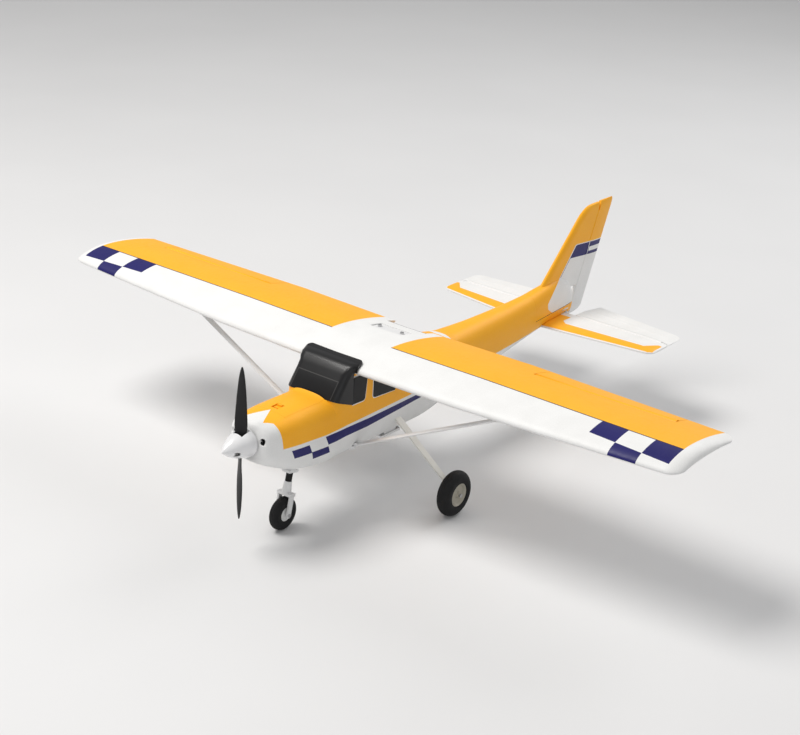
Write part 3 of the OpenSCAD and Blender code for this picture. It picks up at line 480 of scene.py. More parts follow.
def plastic(name, colour, dark, rough=(0.28, 0.45), grain=0.5, depth=0.05, coat=0.0, painted_light=None):
    """Moulded plastic with fine texture, flow marks and scuffs. Its last argument is a mask and a colour that
    paint a highlight or shade onto it.
    """
    p = Paint(name)
    base = p.mix(p.noise(14, 3), colour, dark)
    scuffs = p.over(p.noise(2.2, 6, 0.75), 0.68)
    lighter = tuple(min(1.0, c * 1.25 + 0.02) for c in colour)
    base = p.mix(p.ramp(scuffs, 0.0, 0.35), base, lighter)
    # Painted light: a highlight or a shade painted in the mask's colour.
    if painted_light:
        base = p.mix(painted_light[0](p), base, painted_light[1])
    relief = p.bump(p.noise(grain, 2), depth, 0.35)
    relief = p.bump(p.noise(22, 2), 0.25, 0.15, relief)
    shine = 0.5 if colour[0] > 0.1 else 0.3
    gloss = p.ramp(p.noise(4, 4), *rough)
    return p.finish(base, gloss, relief, specular_ior_level=shine, coat_weight=coat, coat_roughness=0.08)


def metal(name, colour):
    """Plated or drawn metal with fine lines along Y."""
    p = Paint(name)
    lines = p.stretched("Y", 0.25)
    base = p.mix(lines, colour, tuple(c * 0.7 for c in colour))
    stains = p.ramp(p.noise(6, 4), 0.22, 0.4)
    return p.finish(base, stains, p.bump(lines, 0.02, 0.4), metallic=1.0)


def rubber(name, groove_axis=None):
    """Matt black rubber with moulding grain and patches of dust."""
    p = Paint(name)
    dust = p.ramp(p.noise(9, 5, 0.7), 0.0, 0.5)
    base = p.mix(dust, (0.008, 0.008, 0.009), (0.018, 0.0175, 0.017))
    relief = p.bump(p.noise(0.7, 3), 0.12, 0.5)
    if groove_axis:
        waves = p.math("SINE", p.math("MULTIPLY", getattr(p, groove_axis), 3.6))
        relief = p.bump(waves, 0.12, 0.4, relief)
    return p.finish(base, p.ramp(p.noise(3, 3), 0.55, 0.78), relief, specular_ior_level=0.25)


def wood(name):
    """Thin birch plywood: long grain on its faces."""
    p = Paint(name)
    grain = p.stretched("X", 1.6, 5)
    base = p.mix(grain, (0.62, 0.42, 0.22), (0.40, 0.24, 0.11))
    return p.finish(base, p.ramp(grain, 0.5, 0.7), p.bump(grain, 0.08, 0.4))


def floor_paint():
    p = Paint("studio_floor_paint")
    base = p.mix(p.noise(400, 2), (0.74, 0.74, 0.745), (0.70, 0.70, 0.705))
    return p.finish(base, 0.6, p.bump(p.noise(3, 2), 0.05, 0.1))


# ---- wing ----

HALF_SPAN = 613
ROOT_CHORD = 218
WING_LE = 292
WING_TE = WING_LE - ROOT_CHORD
TAPER_Y = 240
TAPER = 0.055
TIP_R = 22
WING_STEPS = 44
THICKNESS = 0.125
TE_THICK = 2.5
CAMBER = 0.04
CAMBER_AT = 0.4
DIHEDRAL = math.radians(0.92)
WING_Z = 254.5
HINGE_X = 122
HINGE_Z = 4.9
HINGE_NOSE_R = 6.2
AILERON = (276, 527)
AILERON_GAP = 0.9
SERVO_Y = 330
SERVO_AHEAD = 50
STRUT_X = 264
STRUT_Y = 303
PLATE_X = 138
PLATE_LIFT = 11.6
PLATE_TILT = -8


def half_thickness(t):
    """Half the thickness of a four-digit aerofoil at a share t of its chord, per unit of thickness."""
    return 5 * (0.2969 * math.sqrt(t) - 0.126 * t - 0.3516 * t * t + 0.2843 * t**3 - 0.1036 * t**4)


def camber(t):
    if t < CAMBER_AT:
        return CAMBER / CAMBER_AT**2 * (2 * CAMBER_AT * t - t * t)
    return CAMBER / (1 - CAMBER_AT) ** 2 * (1 - 2 * CAMBER_AT + 2 * CAMBER_AT * t - t * t)


def wing_height(t, chord, thick, side):
    return chord * camber(t) + side * (chord * thick * half_thickness(t) + TE_THICK / 2 * t)


def wing_ring(y, le, te, thick, grow=0.0):
    """Section of the wing at y, from its leading to its trailing edge and back, grown on all sides."""
    shares = [(1 - math.cos(math.pi * i / WING_STEPS)) / 2 for i in range(WING_STEPS + 1)]
    chord = le - te

    def point(t, side):
        return le + grow - t * (chord + 2 * grow), y, wing_height(t, chord, thick, side) + side * grow

    return [point(t, -1) for t in shares] + [point(t, 1) for t in reversed(shares[1:])]


def edge_shift(y):
    return max(0.0, y - TAPER_Y) * TAPER


def wing_frame(obj):
    """Puts a shape from the wing's own frame in its place, with the wing's rise."""
    return placed(obj, shift(0, 0, WING_Z) @ Matrix.Rotation(DIHEDRAL, 4, "X"))


def wing_solid(name, y_from, grow=0.0, y_to=HALF_SPAN - TIP_R, tip=True):
    ys = sorted({y_from, TAPER_Y, y_to, *range(60, int(y_to), 60)})
    rings = [
        wing_ring(y, WING_LE - edge_shift(y), WING_TE + edge_shift(y), THICKNESS, grow)
        for y in ys
        if y_from <= y <= y_to
    ]
    if tip:
        for a in (15, 30, 43, 55, 65, 74, 82, 87):
            y = y_to + TIP_R * sine(a)
            inset = TIP_R * (1 - cosine(a))
            le, te = WING_LE - edge_shift(y) - inset, WING_TE + edge_shift(y) + inset
            rings.append(wing_ring(y, le, te, THICKNESS * cosine(a)))
    return loft(name, rings)


def wing_envelope(grow):
    """Room that the wing's middle takes up in the fuselage and canopy."""
    left = wing_frame(wing_solid("left_room", -4, grow, 150, tip=False))
    right = mirrored(left, "right_room")
    return [left, right]


def make_wing():
    paint = foam("wing_paint", wing_orange, wing_navy, wing_trim_lines_and_notch_shadow)
    wing = wing_solid("wing", 0)
    gap = AILERON_GAP
    bay = box("bay", (20, AILERON[0] - gap, -30), (HINGE_X + HINGE_NOSE_R + gap, AILERON[1] + gap, 40))
    notch = box("notch", (20, -5, -20), (NOTCH_X, NOTCH_HALF_W, 20))
    seat = box("seat", (STRUT_X - 9, STRUT_Y - 10, -12), (STRUT_X + 9, STRUT_Y + 10, 0.5))
    x, y = HINGE_X + SERVO_AHEAD, SERVO_Y
    pocket = box("pocket", (x - 21.2, y + 3.9, -20), (x + 10.7, y + 26.2, 11.1))
    slot_a = box("slot_a", (x - 8, y - 7, -20), (x + 8, y + 4, 10.8))
    slot_b = box("slot_b", (HINGE_X - 5, y - 7, -20), (x + 8, y + 2, -1.6))
    cut(wing, bay, notch, seat, pocket, slot_a, slot_b)
    wing_frame(wing)
    cut(wing, placed(box("plate_seat", (-15.2, -40, -0.1), (15.2, 32.2, 20)), plate_turn()))
    wing.name = "left_wing_panel"
    for side, panel in (("left", wing), ("right", mirrored(wing, "right_wing_panel"))):
        smooth(soften(panel, 0.5, 2, 50))
        finish_piece(panel, "airframe", "white_foam", paint, side + "_wing")

    aileron = keep(
        wing_solid("aileron", AILERON[0] - 40),
        box("keep_aileron", (20, AILERON[0], -30), (HINGE_X, AILERON[1], 40)),
    )
    nose_ends = [(y, HINGE_NOSE_R) for y in AILERON]
    join(aileron, revolve("nose", nose_ends, (HINGE_X, 0, HINGE_Z), "Y"))
    horn_seat = box("horn_seat", (HINGE_X - 14.1, SERVO_Y - 2.1, -20), (HINGE_X + 3.2, SERVO_Y + 0.1, 1.1))
    cut(aileron, horn_seat)
    wing_frame(aileron)
    for side, piece in (("left", aileron), ("right", mirrored(aileron, "aileron_copy"))):
        piece.name = side + "_aileron_foam"
        smooth(soften(piece, 0.5, 2, 50))
        finish_piece(piece, side + "_aileron_body", "orange_foam", paint, side + "_aileron")


def plate_turn():
    """Place and tilt of the plate on top of the wing's middle."""
    return shift(PLATE_X, 0, WING_Z + PLATE_LIFT) @ turn(PLATE_TILT, "Y")


NOTCH_X = 94
NOTCH_HALF_W = 40
TRIM_X = 214.6
TRIM_Y = 61
CHECKS = (457, 502, 547, 592)


def trim_line(p):
    """How far a place lies ahead of the orange trim's front edge."""
    return p.minus(p.x, p.scaled(p.side, 0.01, TRIM_X))


def wing_top(p):
    """1 on a foam sheet's upper side and edges."""
    normal = p.node("ShaderNodeSeparateXYZ")
    p.put(normal.inputs[0], p.coords.outputs["Normal"])
    return p.over(normal.outputs[2], -0.25)


def wing_orange(p):
    behind = p.under(trim_line(p), 0)
    return p.both(behind, p.between(p.side, TRIM_Y, CHECKS[3]), wing_top(p))


def wing_navy(p):
    middle = p.minus(p.x, p.scaled(p.side, 0.038, 239))
    ahead = p.over(trim_line(p), 0)
    rear_row = p.both(
        ahead,
        p.under(middle, 0),
        p.either(p.between(p.side, CHECKS[0], CHECKS[1]), p.between(p.side, CHECKS[2], CHECKS[3])),
    )
    front_row = p.both(p.over(middle, 0), p.between(p.side, CHECKS[1], CHECKS[2]))
    return p.both(p.either(rear_row, front_row), wing_top(p))


def wing_trim_lines_and_notch_shadow(p):
    edge = p.both(p.between(trim_line(p), -0.8, 1.4), p.between(p.side, TRIM_Y, CHECKS[3]), wing_top(p))
    # Dark line at the notch in the trailing edge's middle: painted shadow in the gap.
    middle = p.both(p.between(p.x, NOTCH_X - 0.1, NOTCH_X + 1.6), p.under(p.side, NOTCH_HALF_W + 0.5))
    return p.either(edge, middle)


# ---- fuselage ----

# Fuselage stations: x, half width, belly z, roof z
STATIONS = [
    (482, 28, 157, 207), (479, 35, 152, 212), (472, 41, 146.5, 216), (460, 45, 140, 218),
    (440, 48, 130.5, 219.5), (415, 50, 120, 220.5), (385, 50.5, 111.5, 220.5), (350, 51, 106, 220),
    (334, 51, 104, 226), (300, 50.5, 102, 290), (240, 50, 101, 300), (123, 48, 99, 296),
    (94, 47, 100.2, 256), (84, 46.5, 100.5, 251), (60, 45, 103, 239), (23, 42, 108, 230),
    (-16, 38.5, 114, 223.5), (-100, 32.5, 123.5, 221.5), (-172, 28.5, 132, 221), (-260, 23.5, 144, 223),
    (-309, 20.5, 149, 228), (-360, 17, 150, 232), (-395, 13.5, 152, 222), (-409, 11, 154, 205),
]
TAIL_X = -409.0
NOSE_X = 482.0
NOSE_EDGE = [474.5, 477, 480.5, 481.4]
ROUNDNESS = 3.1
TAIL_ROUNDNESS = 2.3
RING_SIDES = 96
SHELL = 5
CAVITY = (-380, 474)
SHAFT_Z = 183.7
# Hatch: its two ends along X, half width and floor
HATCH = (340.2, 432, 30, 211)
DECK_TOP = 221.5
CANOPY_BACK = 293.8
# Levels of the canopy and its brow: z, front x, half width
CANOPY_FOOT = (197, 340, 52)
CANOPY_LEVELS = [(218, 339, 51.4), (244, 320, 50.8), (254, 312.5, 51.6), (258, 309.4, 54)]
CANOPY_TOP = (263.6, 303.6, 55.6)
CANOPY_CORNER = 14
BROW_LEVELS = [(262.7, 304.1, 55), (265.6, 300.6, 54.9), (267.4, 296.2, 54.4), (268.2, 291, 53.4)]
BROW_BACK = 279.3
SILL_Z = 200.1
SILL_RISE = 0.385
FIN_SPLIT_Z = 177.5
FIN_FOOT = -269
STAB_Z = 157
STAB_FRONT = -299
ELEVATOR_X = -392
CLEAR = 0.3
INLET = (486.5, 33.5, 191.5)
INLET_SLOT_AT = (480, 29.5, 191.5)
BRACKET_ROOM = ((260.4, 31.9, 111.9), (277.6, 39.6, 126.1))
LEG_X = 164


def ring_roundness(x):
    t = max(0.0, min(1.0, (x + 100) / 160))
    return lerp(TAIL_ROUNDNESS, ROUNDNESS, t)


def signed_power(v, p):
    return math.copysign(abs(v) ** p, v)


def fuselage_curves():
    ordered = sorted(STATIONS)
    xs = [s[0] for s in ordered]
    return [monotone(xs, [s[i] for s in ordered]) for i in (1, 2, 3)]


def fuselage_loft(name, inset=0.0, low=TAIL_X, high=NOSE_X):
    width, belly, roof = fuselage_curves()
    xs = {low, high, *range(int(low) + 8, int(high), 12)}
    xs.update(s[0] for s in STATIONS if low < s[0] < high)
    if not inset:
        xs.update(NOSE_EDGE)
    rings = []
    for x in sorted(xs):
        w, bottom, top = width(x) - inset, belly(x) + inset, roof(x) - inset
        mid, power = (bottom + top) / 2, 2 / ring_roundness(x)
        ring = []
        for i in range(RING_SIDES):
            a = 2 * math.pi * i / RING_SIDES
            across, up = signed_power(math.cos(a), power), signed_power(math.sin(a), power)
            ring.append((x, w * across, mid + (top - mid) * up))
        rings.append(ring)
    return loft(name, rings)


def canopy_ring(z, front, half_w, grow, back):
    """Level of the canopy: two round front corners on straight sides."""
    f, w = front + grow, half_w + grow
    corners = [math.radians(-90 + 6 * i) for i in range(16)]
    r = CANOPY_CORNER
    right = [(f - r + r * math.cos(a), r - w + r * math.sin(a), z) for a in corners]
    left = [(x, -y, z) for x, y, z in reversed(right)]
    return right + left + [(back, w, z), (back, -w, z)]


def canopy_loft(name, grow, back):
    """Box with rounded front corners that leans back."""
    foot = (CANOPY_FOOT[0] - grow, *CANOPY_FOOT[1:])
    top = (CANOPY_TOP[0] + grow, *CANOPY_TOP[1:])
    return loft(name, [canopy_ring(*level, grow, back) for level in (foot, *CANOPY_LEVELS, top)])


def under_sill(drop):
    """Everything under the canopy's lower edge, which rises to the front."""
    run, rear, floor = 60, CANOPY_BACK - 20, 150
    edge = SILL_Z - drop
    front, high = CANOPY_BACK + run, edge + run * SILL_RISE
    outline = [(rear, floor), (front, floor), (front, high), (CANOPY_BACK, edge), (rear, edge)]
    return loft("under_sill", [[(x, y, z) for x, z in outline] for y in (-70, 70)])


def canopy_seat():
    """Upright pocket for the canopy's foot, so that the canopy lifts straight out."""
    levels = (CANOPY_FOOT[0] - 0.4, CANOPY_TOP[0] + 0.4)
    seat = loft("seat", [canopy_ring(z, *CANOPY_FOOT[1:], 0.4, CANOPY_BACK - CLEAR) for z in levels])
    return cut(seat, under_sill(CLEAR))


def coaming():
    """Foam wall that stands up from the fuselage's rounded edge to carry the canopy."""
    wall = keep(canopy_loft("coaming", -1, CANOPY_BACK + 1), under_sill(CLEAR))
    reach = HATCH[2] + CLEAR
    beside_hatch = box("beside_hatch", (CANOPY_BACK, -reach, 180), (HATCH[1], reach, 240))
    return cut(wall, canopy_loft("coaming_room", -7, CANOPY_BACK - 10), beside_hatch)


def tail_slot():
    half = TAIL_THICK / 2 + CLEAR
    return box("tail_slot", (ELEVATOR_X + 4, -40, STAB_Z - half), (STAB_FRONT + CLEAR, 40, STAB_Z + half))


def gear_leg_room():
    """Slot for the bent main gear leg, seen along X."""
    half_w, grow, top = 7.15, 0.15, 134
    foot_y, foot_z, bend_y, thick = 150, 54.8, 40, 3
    slope = math.atan2(top - foot_z, foot_y - bend_y)
    deep = thick + 2 * grow
    rise = deep / math.cos(slope)
    low = top - grow
    drop = foot_z - thick / math.cos(slope) / 2 - grow
    outline = [
        (-foot_y, drop), (-bend_y, low), (bend_y, low), (foot_y, drop),
        (foot_y, drop + rise), (bend_y + 1, low + deep), (-bend_y - 1, low + deep), (-foot_y, drop + rise),
    ]
    return loft("leg_room", [[(x, *corner) for corner in outline] for x in (LEG_X - half_w, LEG_X + half_w)])


def strut_axis_turn():
    """The nose leg's own frame, whose Z runs up the leg."""
    return shift(*NOSE_WHEEL_AT) @ turn(STRUT_RAKE, "Y")


def inlet(side):
    """Round dish beside the spinner and the upright slot in it, as cutters."""
    x, y, z = INLET
    dish = revolve("dish", [(0, 9.5), (3, 9.0), (9, 4.5), (12, 0.6)], (0, 0, 0), "X", 48)
    placed(dish, shift(x, side * y, z) @ turn(180 + side * 38, "Z"))
    x, y, z = INLET_SLOT_AT
    slot = box("slot", (-16, -2.1, -5.4), (4, 2.1, 5.4))
    return dish, placed(slot, shift(x, side * y, z) @ turn(side * 20, "Z"))


def bracket_room(side):
    (x_low, y_in, z_low), (x_high, y_out, z_high) = BRACKET_ROOM
    ys = sorted((side * y_in, side * y_out))
    return box("bracket_room", (x_low, ys[0], z_low), (x_high, ys[1], z_high))


def fuselage_shell():
    shell = fuselage_loft("shell")
    cut(shell, fuselage_loft("cavity", SHELL, *CAVITY))
    cut(shell, *wing_envelope(CLEAR))
    bearing = placed(revolve("bearing", [(68, 9.1), (108, 9.1)], (0, 0, 0), "Z"), strut_axis_turn())
    back, front, half_w, floor = HATCH
    reach = half_w + CLEAR
    hatch = box("hatch_room", (back - 4, -reach, floor - CLEAR), (front + CLEAR, reach, 240))
    cut(
        shell,
        box("over_wing", (WING_TE - 6, -80, WING_Z + 3), (WING_LE + 60, 80, 300)),
        box("over_canopy", (CANOPY_BACK - 6, -80, WING_Z), (WING_LE + 60, 80, 300)),
        box("over_deck", (CANOPY_BACK - CLEAR, -80, DECK_TOP), (HATCH[0], 80, 300)),
        hatch,
        canopy_seat(),
        revolve("shaft_hole", [(465, 17.5), (495, 17.5)], (0, 0, SHAFT_Z)),
        box("plate_room", (138.8, -32.2, 96), (189.2, 32.2, 134)),
        gear_leg_room(),
        bearing,
        tail_slot(),
        box("over_tail", (-420, -30, FIN_SPLIT_Z), (FIN_FOOT, 30, 260)),
        box("joiner_room", (ELEVATOR_X - 8.5, -40, STAB_Z - 6), (ELEVATOR_X + 9, 40, STAB_Z + 6)),
    )
    for side in (1, -1):
        cut(shell, *inlet(side), bracket_room(side))
    return join(shell, coaming())


def deck_front(p):
    """1 behind the front edge of the orange: two points beside a wedge, then down the sides."""
    wedge = p.scaled(p.side, 2.05, 430.4)
    points = p.scaled(p.side, -1.0, 486.6)
    sides = p.scaled(p.z, 0.141, 426.7)
    return p.under(p.x, p.math("MINIMUM", wedge, p.math("MAXIMUM", points, sides)))


def fuselage_orange(p):
    """Orange above a line along the side: level by the cabin, then falling, then level to the tail."""
    front_x, cabin_x, tail_x = 358, 20, -100
    cabin_z, tail_z = 168.2, 156
    front = p.left_of(p.x, p.z, (453.7, 175.5), (front_x, 168.5))
    cabin = p.over(p.z, cabin_z)
    ahead = p.over(p.x, front_x)
    by_cabin = p.over(p.x, cabin_x)
    under_tail = p.under(p.z, tail_z)
    under_slope = p.left_of(p.x, p.z, (cabin_x, cabin_z), (tail_x, tail_z))
    above = p.either(
        p.both(ahead, p.no(front)),
        p.both(p.no(ahead), by_cabin, cabin),
        p.both(p.no(by_cabin), p.over(p.x, tail_x), p.no(under_slope)),
        p.both(p.under(p.x, tail_x), p.no(under_tail)),
    )
    strip = p.both(
        p.polygon(p.x, p.y, [(8, -22), (14, 2), (-1, 56), (-6, 56), (-1, 4), (0, -22)]),
        p.over(p.z, 190),
    )
    front_trim = p.polygon(p.x, p.z, [
        (294, 198.4), (294, 247), (255.7, 247), (260.5, 202), (263.2, 198.2), (267.7, 197.4),
    ])
    rear_trim = p.polygon(p.x, p.z, [
        (242.5, 247), (164.8, 247), (182.6, 190.5), (236.3, 193.7), (240.6, 195.4), (243.1, 199.7),
    ])
    trim = p.both(p.either(front_trim, rear_trim), p.over(p.side, 42))
    return p.both(above, p.no(strip), p.no(trim), deck_front(p))


def fuselage_navy(p):
    """Stripe under the cabin and two checks that step down from it towards the nose."""
    stripe = p.polygon(p.x, p.z, [(349, 149.7), (357, 166), (249, 162.1), (249, 147)])
    taper = p.polygon(p.x, p.z, [(249, 147), (249, 162.1), (-90, 161.6)])
    upper_check = p.polygon(p.x, p.z, [(386.9, 148.6), (426.5, 151.6), (433.8, 167.2), (394.5, 164.4)])
    lower_check = p.polygon(p.x, p.z, [(343, 134.1), (382.5, 135.7), (387.7, 149.6), (348.9, 147.1)])
    return p.either(stripe, taper, upper_check, lower_check)


def fuselage_seam(p):
    """Shadow line where the fin's foot meets the fuselage."""
    return p.both(p.over(p.z, FIN_SPLIT_Z - 0.9), p.between(p.x, -402, FIN_FOOT))


def inlet_shade(p):
    """Dark throat of each air inlet beside the spinner."""
    return p.both(p.between(p.x, 462, 480.6), p.between(p.side, 25.5, 31.8), p.between(p.z, 186, 197))


def make_fuselage():
    paint = foam("fuselage_paint", fuselage_orange, fuselage_navy, fuselage_seam, inlet_shade)
    shell = fuselage_shell()
    right = duplicate(shell, "right_shell")
    for label, obj, low, high in (("left", shell, 0, 150), ("right", right, -150, 0)):
        keep(obj, box("half", (-600, low, 40), (600, high, 330)))
        obj.name = label + "_fuselage_half"
        smooth(soften(obj, 0.35, 1, 55))
        finish_piece(obj, "airframe", "orange_foam", paint, "fuselage_" + label)

    back, front, half_w, floor = HATCH
    deck = keep(fuselage_loft("deck"), box("deck_room", (back, -half_w, floor), (front, half_w, 240)))
    cut(deck, box("latch_room", (405.7, -7, 215), (422.3, 7, 240)))
    smooth(soften(deck, 0.8, 2, 40))
    finish_piece(deck, "hatch", "orange_foam", paint, "hatch_deck")
    deck.name = "hatch_cover"


def canopy_crease_highlight(p):
    """Painted highlight on the moulded frame on the canopy's front: one crease across it and one down each
    side.
    """
    across = p.both(p.between(p.z, 243.6, 244.8), p.under(p.side, 41))
    down = p.both(p.between(p.side, 40, 41.2), p.between(p.z, 215, 244.8))
    return p.both(p.either(across, down), p.over(p.x, 315))


def cap_outline():
    """Strip over the wing's leading edge: small corners in front, round ones at the back."""
    middle, half_length, half_w = 286.5, 10.5, 56
    outline = []
    for sx, sy, start in ((1, 1, 0), (-1, 1, 90), (-1, -1, 180), (1, -1, 270)):
        r, cx = (8, middle - half_length + 8) if sx < 0 else (0.5, middle + half_length)
        for i in range(7):
            a = start + 15 * i
            outline.append((cx + r * cosine(a), sy * (half_w - r) + r * sine(a)))
    return outline


def make_canopy():
    dark = (0.010, 0.010, 0.011)
    # The creases get a lighter grey than the canopy: a painted highlight.
    painted_light = (canopy_crease_highlight, (0.05, 0.05, 0.05))
    paint = plastic("canopy_gloss", dark, (0.007, 0.007, 0.008), (0.30, 0.42), 0.6, 0.012, 0.12, painted_light)
    glass = canopy_loft("windscreen_moulding", 0, CANOPY_BACK)
    cut(glass, canopy_loft("inside", -1.8, CANOPY_BACK - 10))
    cut(glass, under_sill(0))
    brow = loft("brow", [canopy_ring(*level, 0, BROW_BACK) for level in BROW_LEVELS])
    join(glass, cut(brow, *wing_envelope(0.7)))
    cap = wing_frame(wing_solid("cap", 0, 2.6, 90, tip=False))
    other = mirrored(cap, "other_cap")
    join(cap, other)
    cut(cap, *wing_envelope(0.7))
    keep(cap, prism("cap_room", cap_outline(), WING_Z + 1, 300))
    join(glass, cap)
    smooth(soften(glass, 0.5, 2, 50), 38)
    finish_piece(glass, "hatch", "canopy_black", paint, "windscreen")
    glass.name = "windscreen_moulding"

    tint = plastic("window_black", (0.008, 0.008, 0.009), (0.006, 0.006, 0.007), (0.42, 0.55), 0.6, 0.012)
    for side in (1, -1):
        label = "left" if side > 0 else "right"
        front = [(292.4, 200), (292.4, 245), (257.5, 245), (262, 202.5), (264, 199.6), (268, 199)]
        rear = [(240.8, 245), (241.4, 200), (239.5, 196.6), (236, 195.3), (184, 192), (167, 245)]
        for part, outline in (("front", front), ("rear", rear)):
            rings = [[(x, side * y, z) for x, z in outline] for y in (49.4, 50.75)]
            pane = loft(f"{label}_{part}_window", rings)
            smooth(soften(pane, 0.4, 2, 40))
            finish_piece(pane, "airframe", "canopy_black", tint, "side_windows")


# ---- tail ----

TAIL_HALF = 233
TAIL_TIP = 16
TAIL_THICK = 9
TAIL_SWEEP = 0.14
TAIL_BACK = -470
TAIL_BACK_SWEEP = 0.12
RIB = 0.45
ELEVATOR_INNER = 33
FIN_TOP = 354
RUDDER_FOOT = (-416, 157)
RUDDER_LEAN = 21.4
RUDDER_LINK_Z = 190
# Levels of the rudder: z, chord, half thickness
RUDDER_LEVELS = [
    (148, 32, 2.6), (150, 37, 3.4), (153, 41.5, 4.1), (156, 44, 4.4), (200, 44.5, 4.4), (260, 45.2, 4.4),
    (320, 45.8, 4.4), (340, 46, 4.4), (346, 45.6, 4.0), (350, 45, 3.4), (353, 43.8, 2.7), (355, 42, 1.9),
]


def tail_half(t, thick):
    return thick / 2 * min(1, 0.2 + 2.4 * math.sqrt(t)) * (1 - 0.7 * t * t)


def tail_ring(y, le, te, thick, ribs=0.0):
    """Section of the tailplane at y, with two ribs along the span where ribs is their height."""
    shares = [
        0, 0.004, 0.012, 0.025, 0.045, 0.07, 0.11, 0.17, 0.25, 0.35, 0.45, 0.5,
        0.515, 0.53, 0.55, 0.6, 0.7, 0.76, 0.775, 0.79, 0.81, 0.86, 0.93, 1,
    ]

    def height(t):
        rib = sum(math.exp(-(((t - c) / 0.012) ** 2)) for c in (0.52, 0.785))
        return tail_half(t, thick) + ribs * rib

    under = [(le - t * (le - te), y, -height(t)) for t in shares]
    over = [(le - t * (le - te), y, height(t)) for t in reversed(shares)]
    return under + over


def tail_le(y):
    return STAB_FRONT - TAIL_SWEEP * abs(y)


def tail_te(y):
    return TAIL_BACK + TAIL_BACK_SWEEP * abs(y)


def tail_solid(name):
    end = TAIL_HALF - TAIL_TIP
    rings = []
    for y in (0, 30, 52, 56, 80, 120, 160, 190, end - 8, end):
        ribs = RIB if 56 <= y <= end - 8 else 0.0
        rings.append(tail_ring(y, tail_le(y), tail_te(y), TAIL_THICK, ribs))
    for a in (15, 30, 45, 58, 70, 80, 86):
        y = end + TAIL_TIP * sine(a)
        inset = TAIL_TIP * (1 - cosine(a))
        rings.append(tail_ring(y, tail_le(y) - inset, tail_te(y) + inset, TAIL_THICK * cosine(a)))
    return placed(loft(name, rings), shift(0, 0, STAB_Z))


def stab_orange(p):
    """Band along the leading edge that takes in the whole root and widens again at the tip."""
    edge = p.scaled(p.side, -TAIL_SWEEP, STAB_FRONT)
    depth = p.minus(edge, p.x)
    past_tip = p.math("MAXIMUM", p.minus(p.side, 205), 0)
    width = p.scaled(past_tip, 1.2, p.scaled(p.side, -0.07, 35))
    band = p.under(depth, width)
    root = p.under(p.side, 34)
    corner = p.under(p.math("ADD", p.side, p.math("MULTIPLY", depth, 0.9)), 73)
    tip_slant = p.math("ADD", p.math("MULTIPLY", p.side, 0.75), p.math("MULTIPLY", depth, -1))
    inside = p.both(p.over(depth, 2.2), p.under(p.side, 229.5), p.under(tip_slant, 165), p.over(p.x, -372))
    return p.both(p.either(band, root, corner), inside, wing_top(p))


def make_stabilizer():
    paint = foam("stabilizer_paint", stab_orange)
    left = tail_solid("left_half")
    right = mirrored(left, "right_half")
    elevator = duplicate(left, "elevator_left")
    join(left, right)
    keep(left, box("front_room", (ELEVATOR_X + 5.2, -300, 100), (-200, 300, 200)))
    smooth(soften(left, 0.4, 1, 50))
    left.name = "stabilizer_foam"
    finish_piece(left, "airframe", "white_foam", paint, "stabilizer")

    x, y = ELEVATOR_X, ELEVATOR_INNER
    outline = [(x, y), (x, 300), (-500, 300), (-500, y + 16), (x - 30, y)]
    keep(elevator, prism("rear_room", outline, 100, 200))
    nose_ends = [(y, 4), (TAIL_HALF - 15, 4)]
    join(elevator, revolve("elevator_nose", nose_ends, (x, 0, STAB_Z), "Y", 40))
    elevator.name = "left_elevator_foam"
    other = mirrored(elevator, "right_elevator_foam")
    for piece in (elevator, other):
        smooth(soften(piece, 0.4, 1, 50))
        finish_piece(piece, "elevator_body", "white_foam", paint, "elevator")


def rudder_x(z):
    return RUDDER_FOOT[0] - (z - RUDDER_FOOT[1]) * math.tan(math.radians(RUDDER_LEAN))


def fin_front(z):
    return -307 - (z - 226) * 1.02


def rudder_turn():
    """The rudder's own frame at its horn, whose Z runs up its hinge line."""
    return shift(rudder_x(RUDDER_LINK_Z), 0, RUDDER_LINK_Z) @ turn(-RUDDER_LEAN, "Y")


def blade_ring(z, front, rear, half_t):
    """Flat section with a rounded front edge, from front to rear."""
    nose, steps = 20, 10
    angles = [90 * i / steps for i in range(steps + 1)]
    left = [(front - nose * (1 - cosine(a)), half_t * sine(a), z) for a in angles]
    left += [(lerp(front - nose, rear, t), half_t * lerp(1, 0.82, t), z) for t in (0.4, 0.8, 1)]
    right = [(x, -y, z) for x, y, z in reversed(left[1:])]
    return left + right


def fin_solid():
    half_t, gap, round_z = 5.6, 5.2, 334
    rings = []
    for z in (205, 226, 260, 300, 330):
        rings.append(blade_ring(z, fin_front(z), rudder_x(z) + gap, half_t))
    for a in (0, 20, 40, 55, 70, 80, 87):
        z = round_z + (FIN_TOP - round_z) * sine(a)
        inset = 1 - cosine(a)
        rings.append(blade_ring(z, fin_front(z) - 16 * inset, rudder_x(z) + gap, half_t - 3.4 * inset))
    return loft("fin_blade", rings)


def rudder_ring(z, chord, half_t):
    x = rudder_x(z)
    shares = (0, 0.08, 0.2, 0.4, 0.6, 0.8, 0.93, 1)
    left = [(x - t * chord, half_t * (1 - t * t * 0.86), z) for t in shares]
    right = [(px, -py, z) for px, py, _ in reversed(left)]
    return left + right


def fin_panel(p, inset):
    """1 inside the tail's white panel, set in by inset, whose edges lean out over the fin's foot."""
    lean = p.math("MAXIMUM", p.minus(p.side, 6), 0)
    u = p.scaled(lean, -1.35, p.x)
    v = p.scaled(lean, -0.71, p.z)
    back = inset * 1.25
    return p.polygon(u, v, [
        (-342.3 - back, 171), (-331 - back, 179), (-328.8 - back, 189.5),
        (-411.5 - back, 286.5 - inset), (-416 - back, 287.5 - inset),
        (-520, 277.5 - inset), (-520, 135), (-400, 148),
    ])


def fin_orange(p):
    return p.no(fin_panel(p, 0))


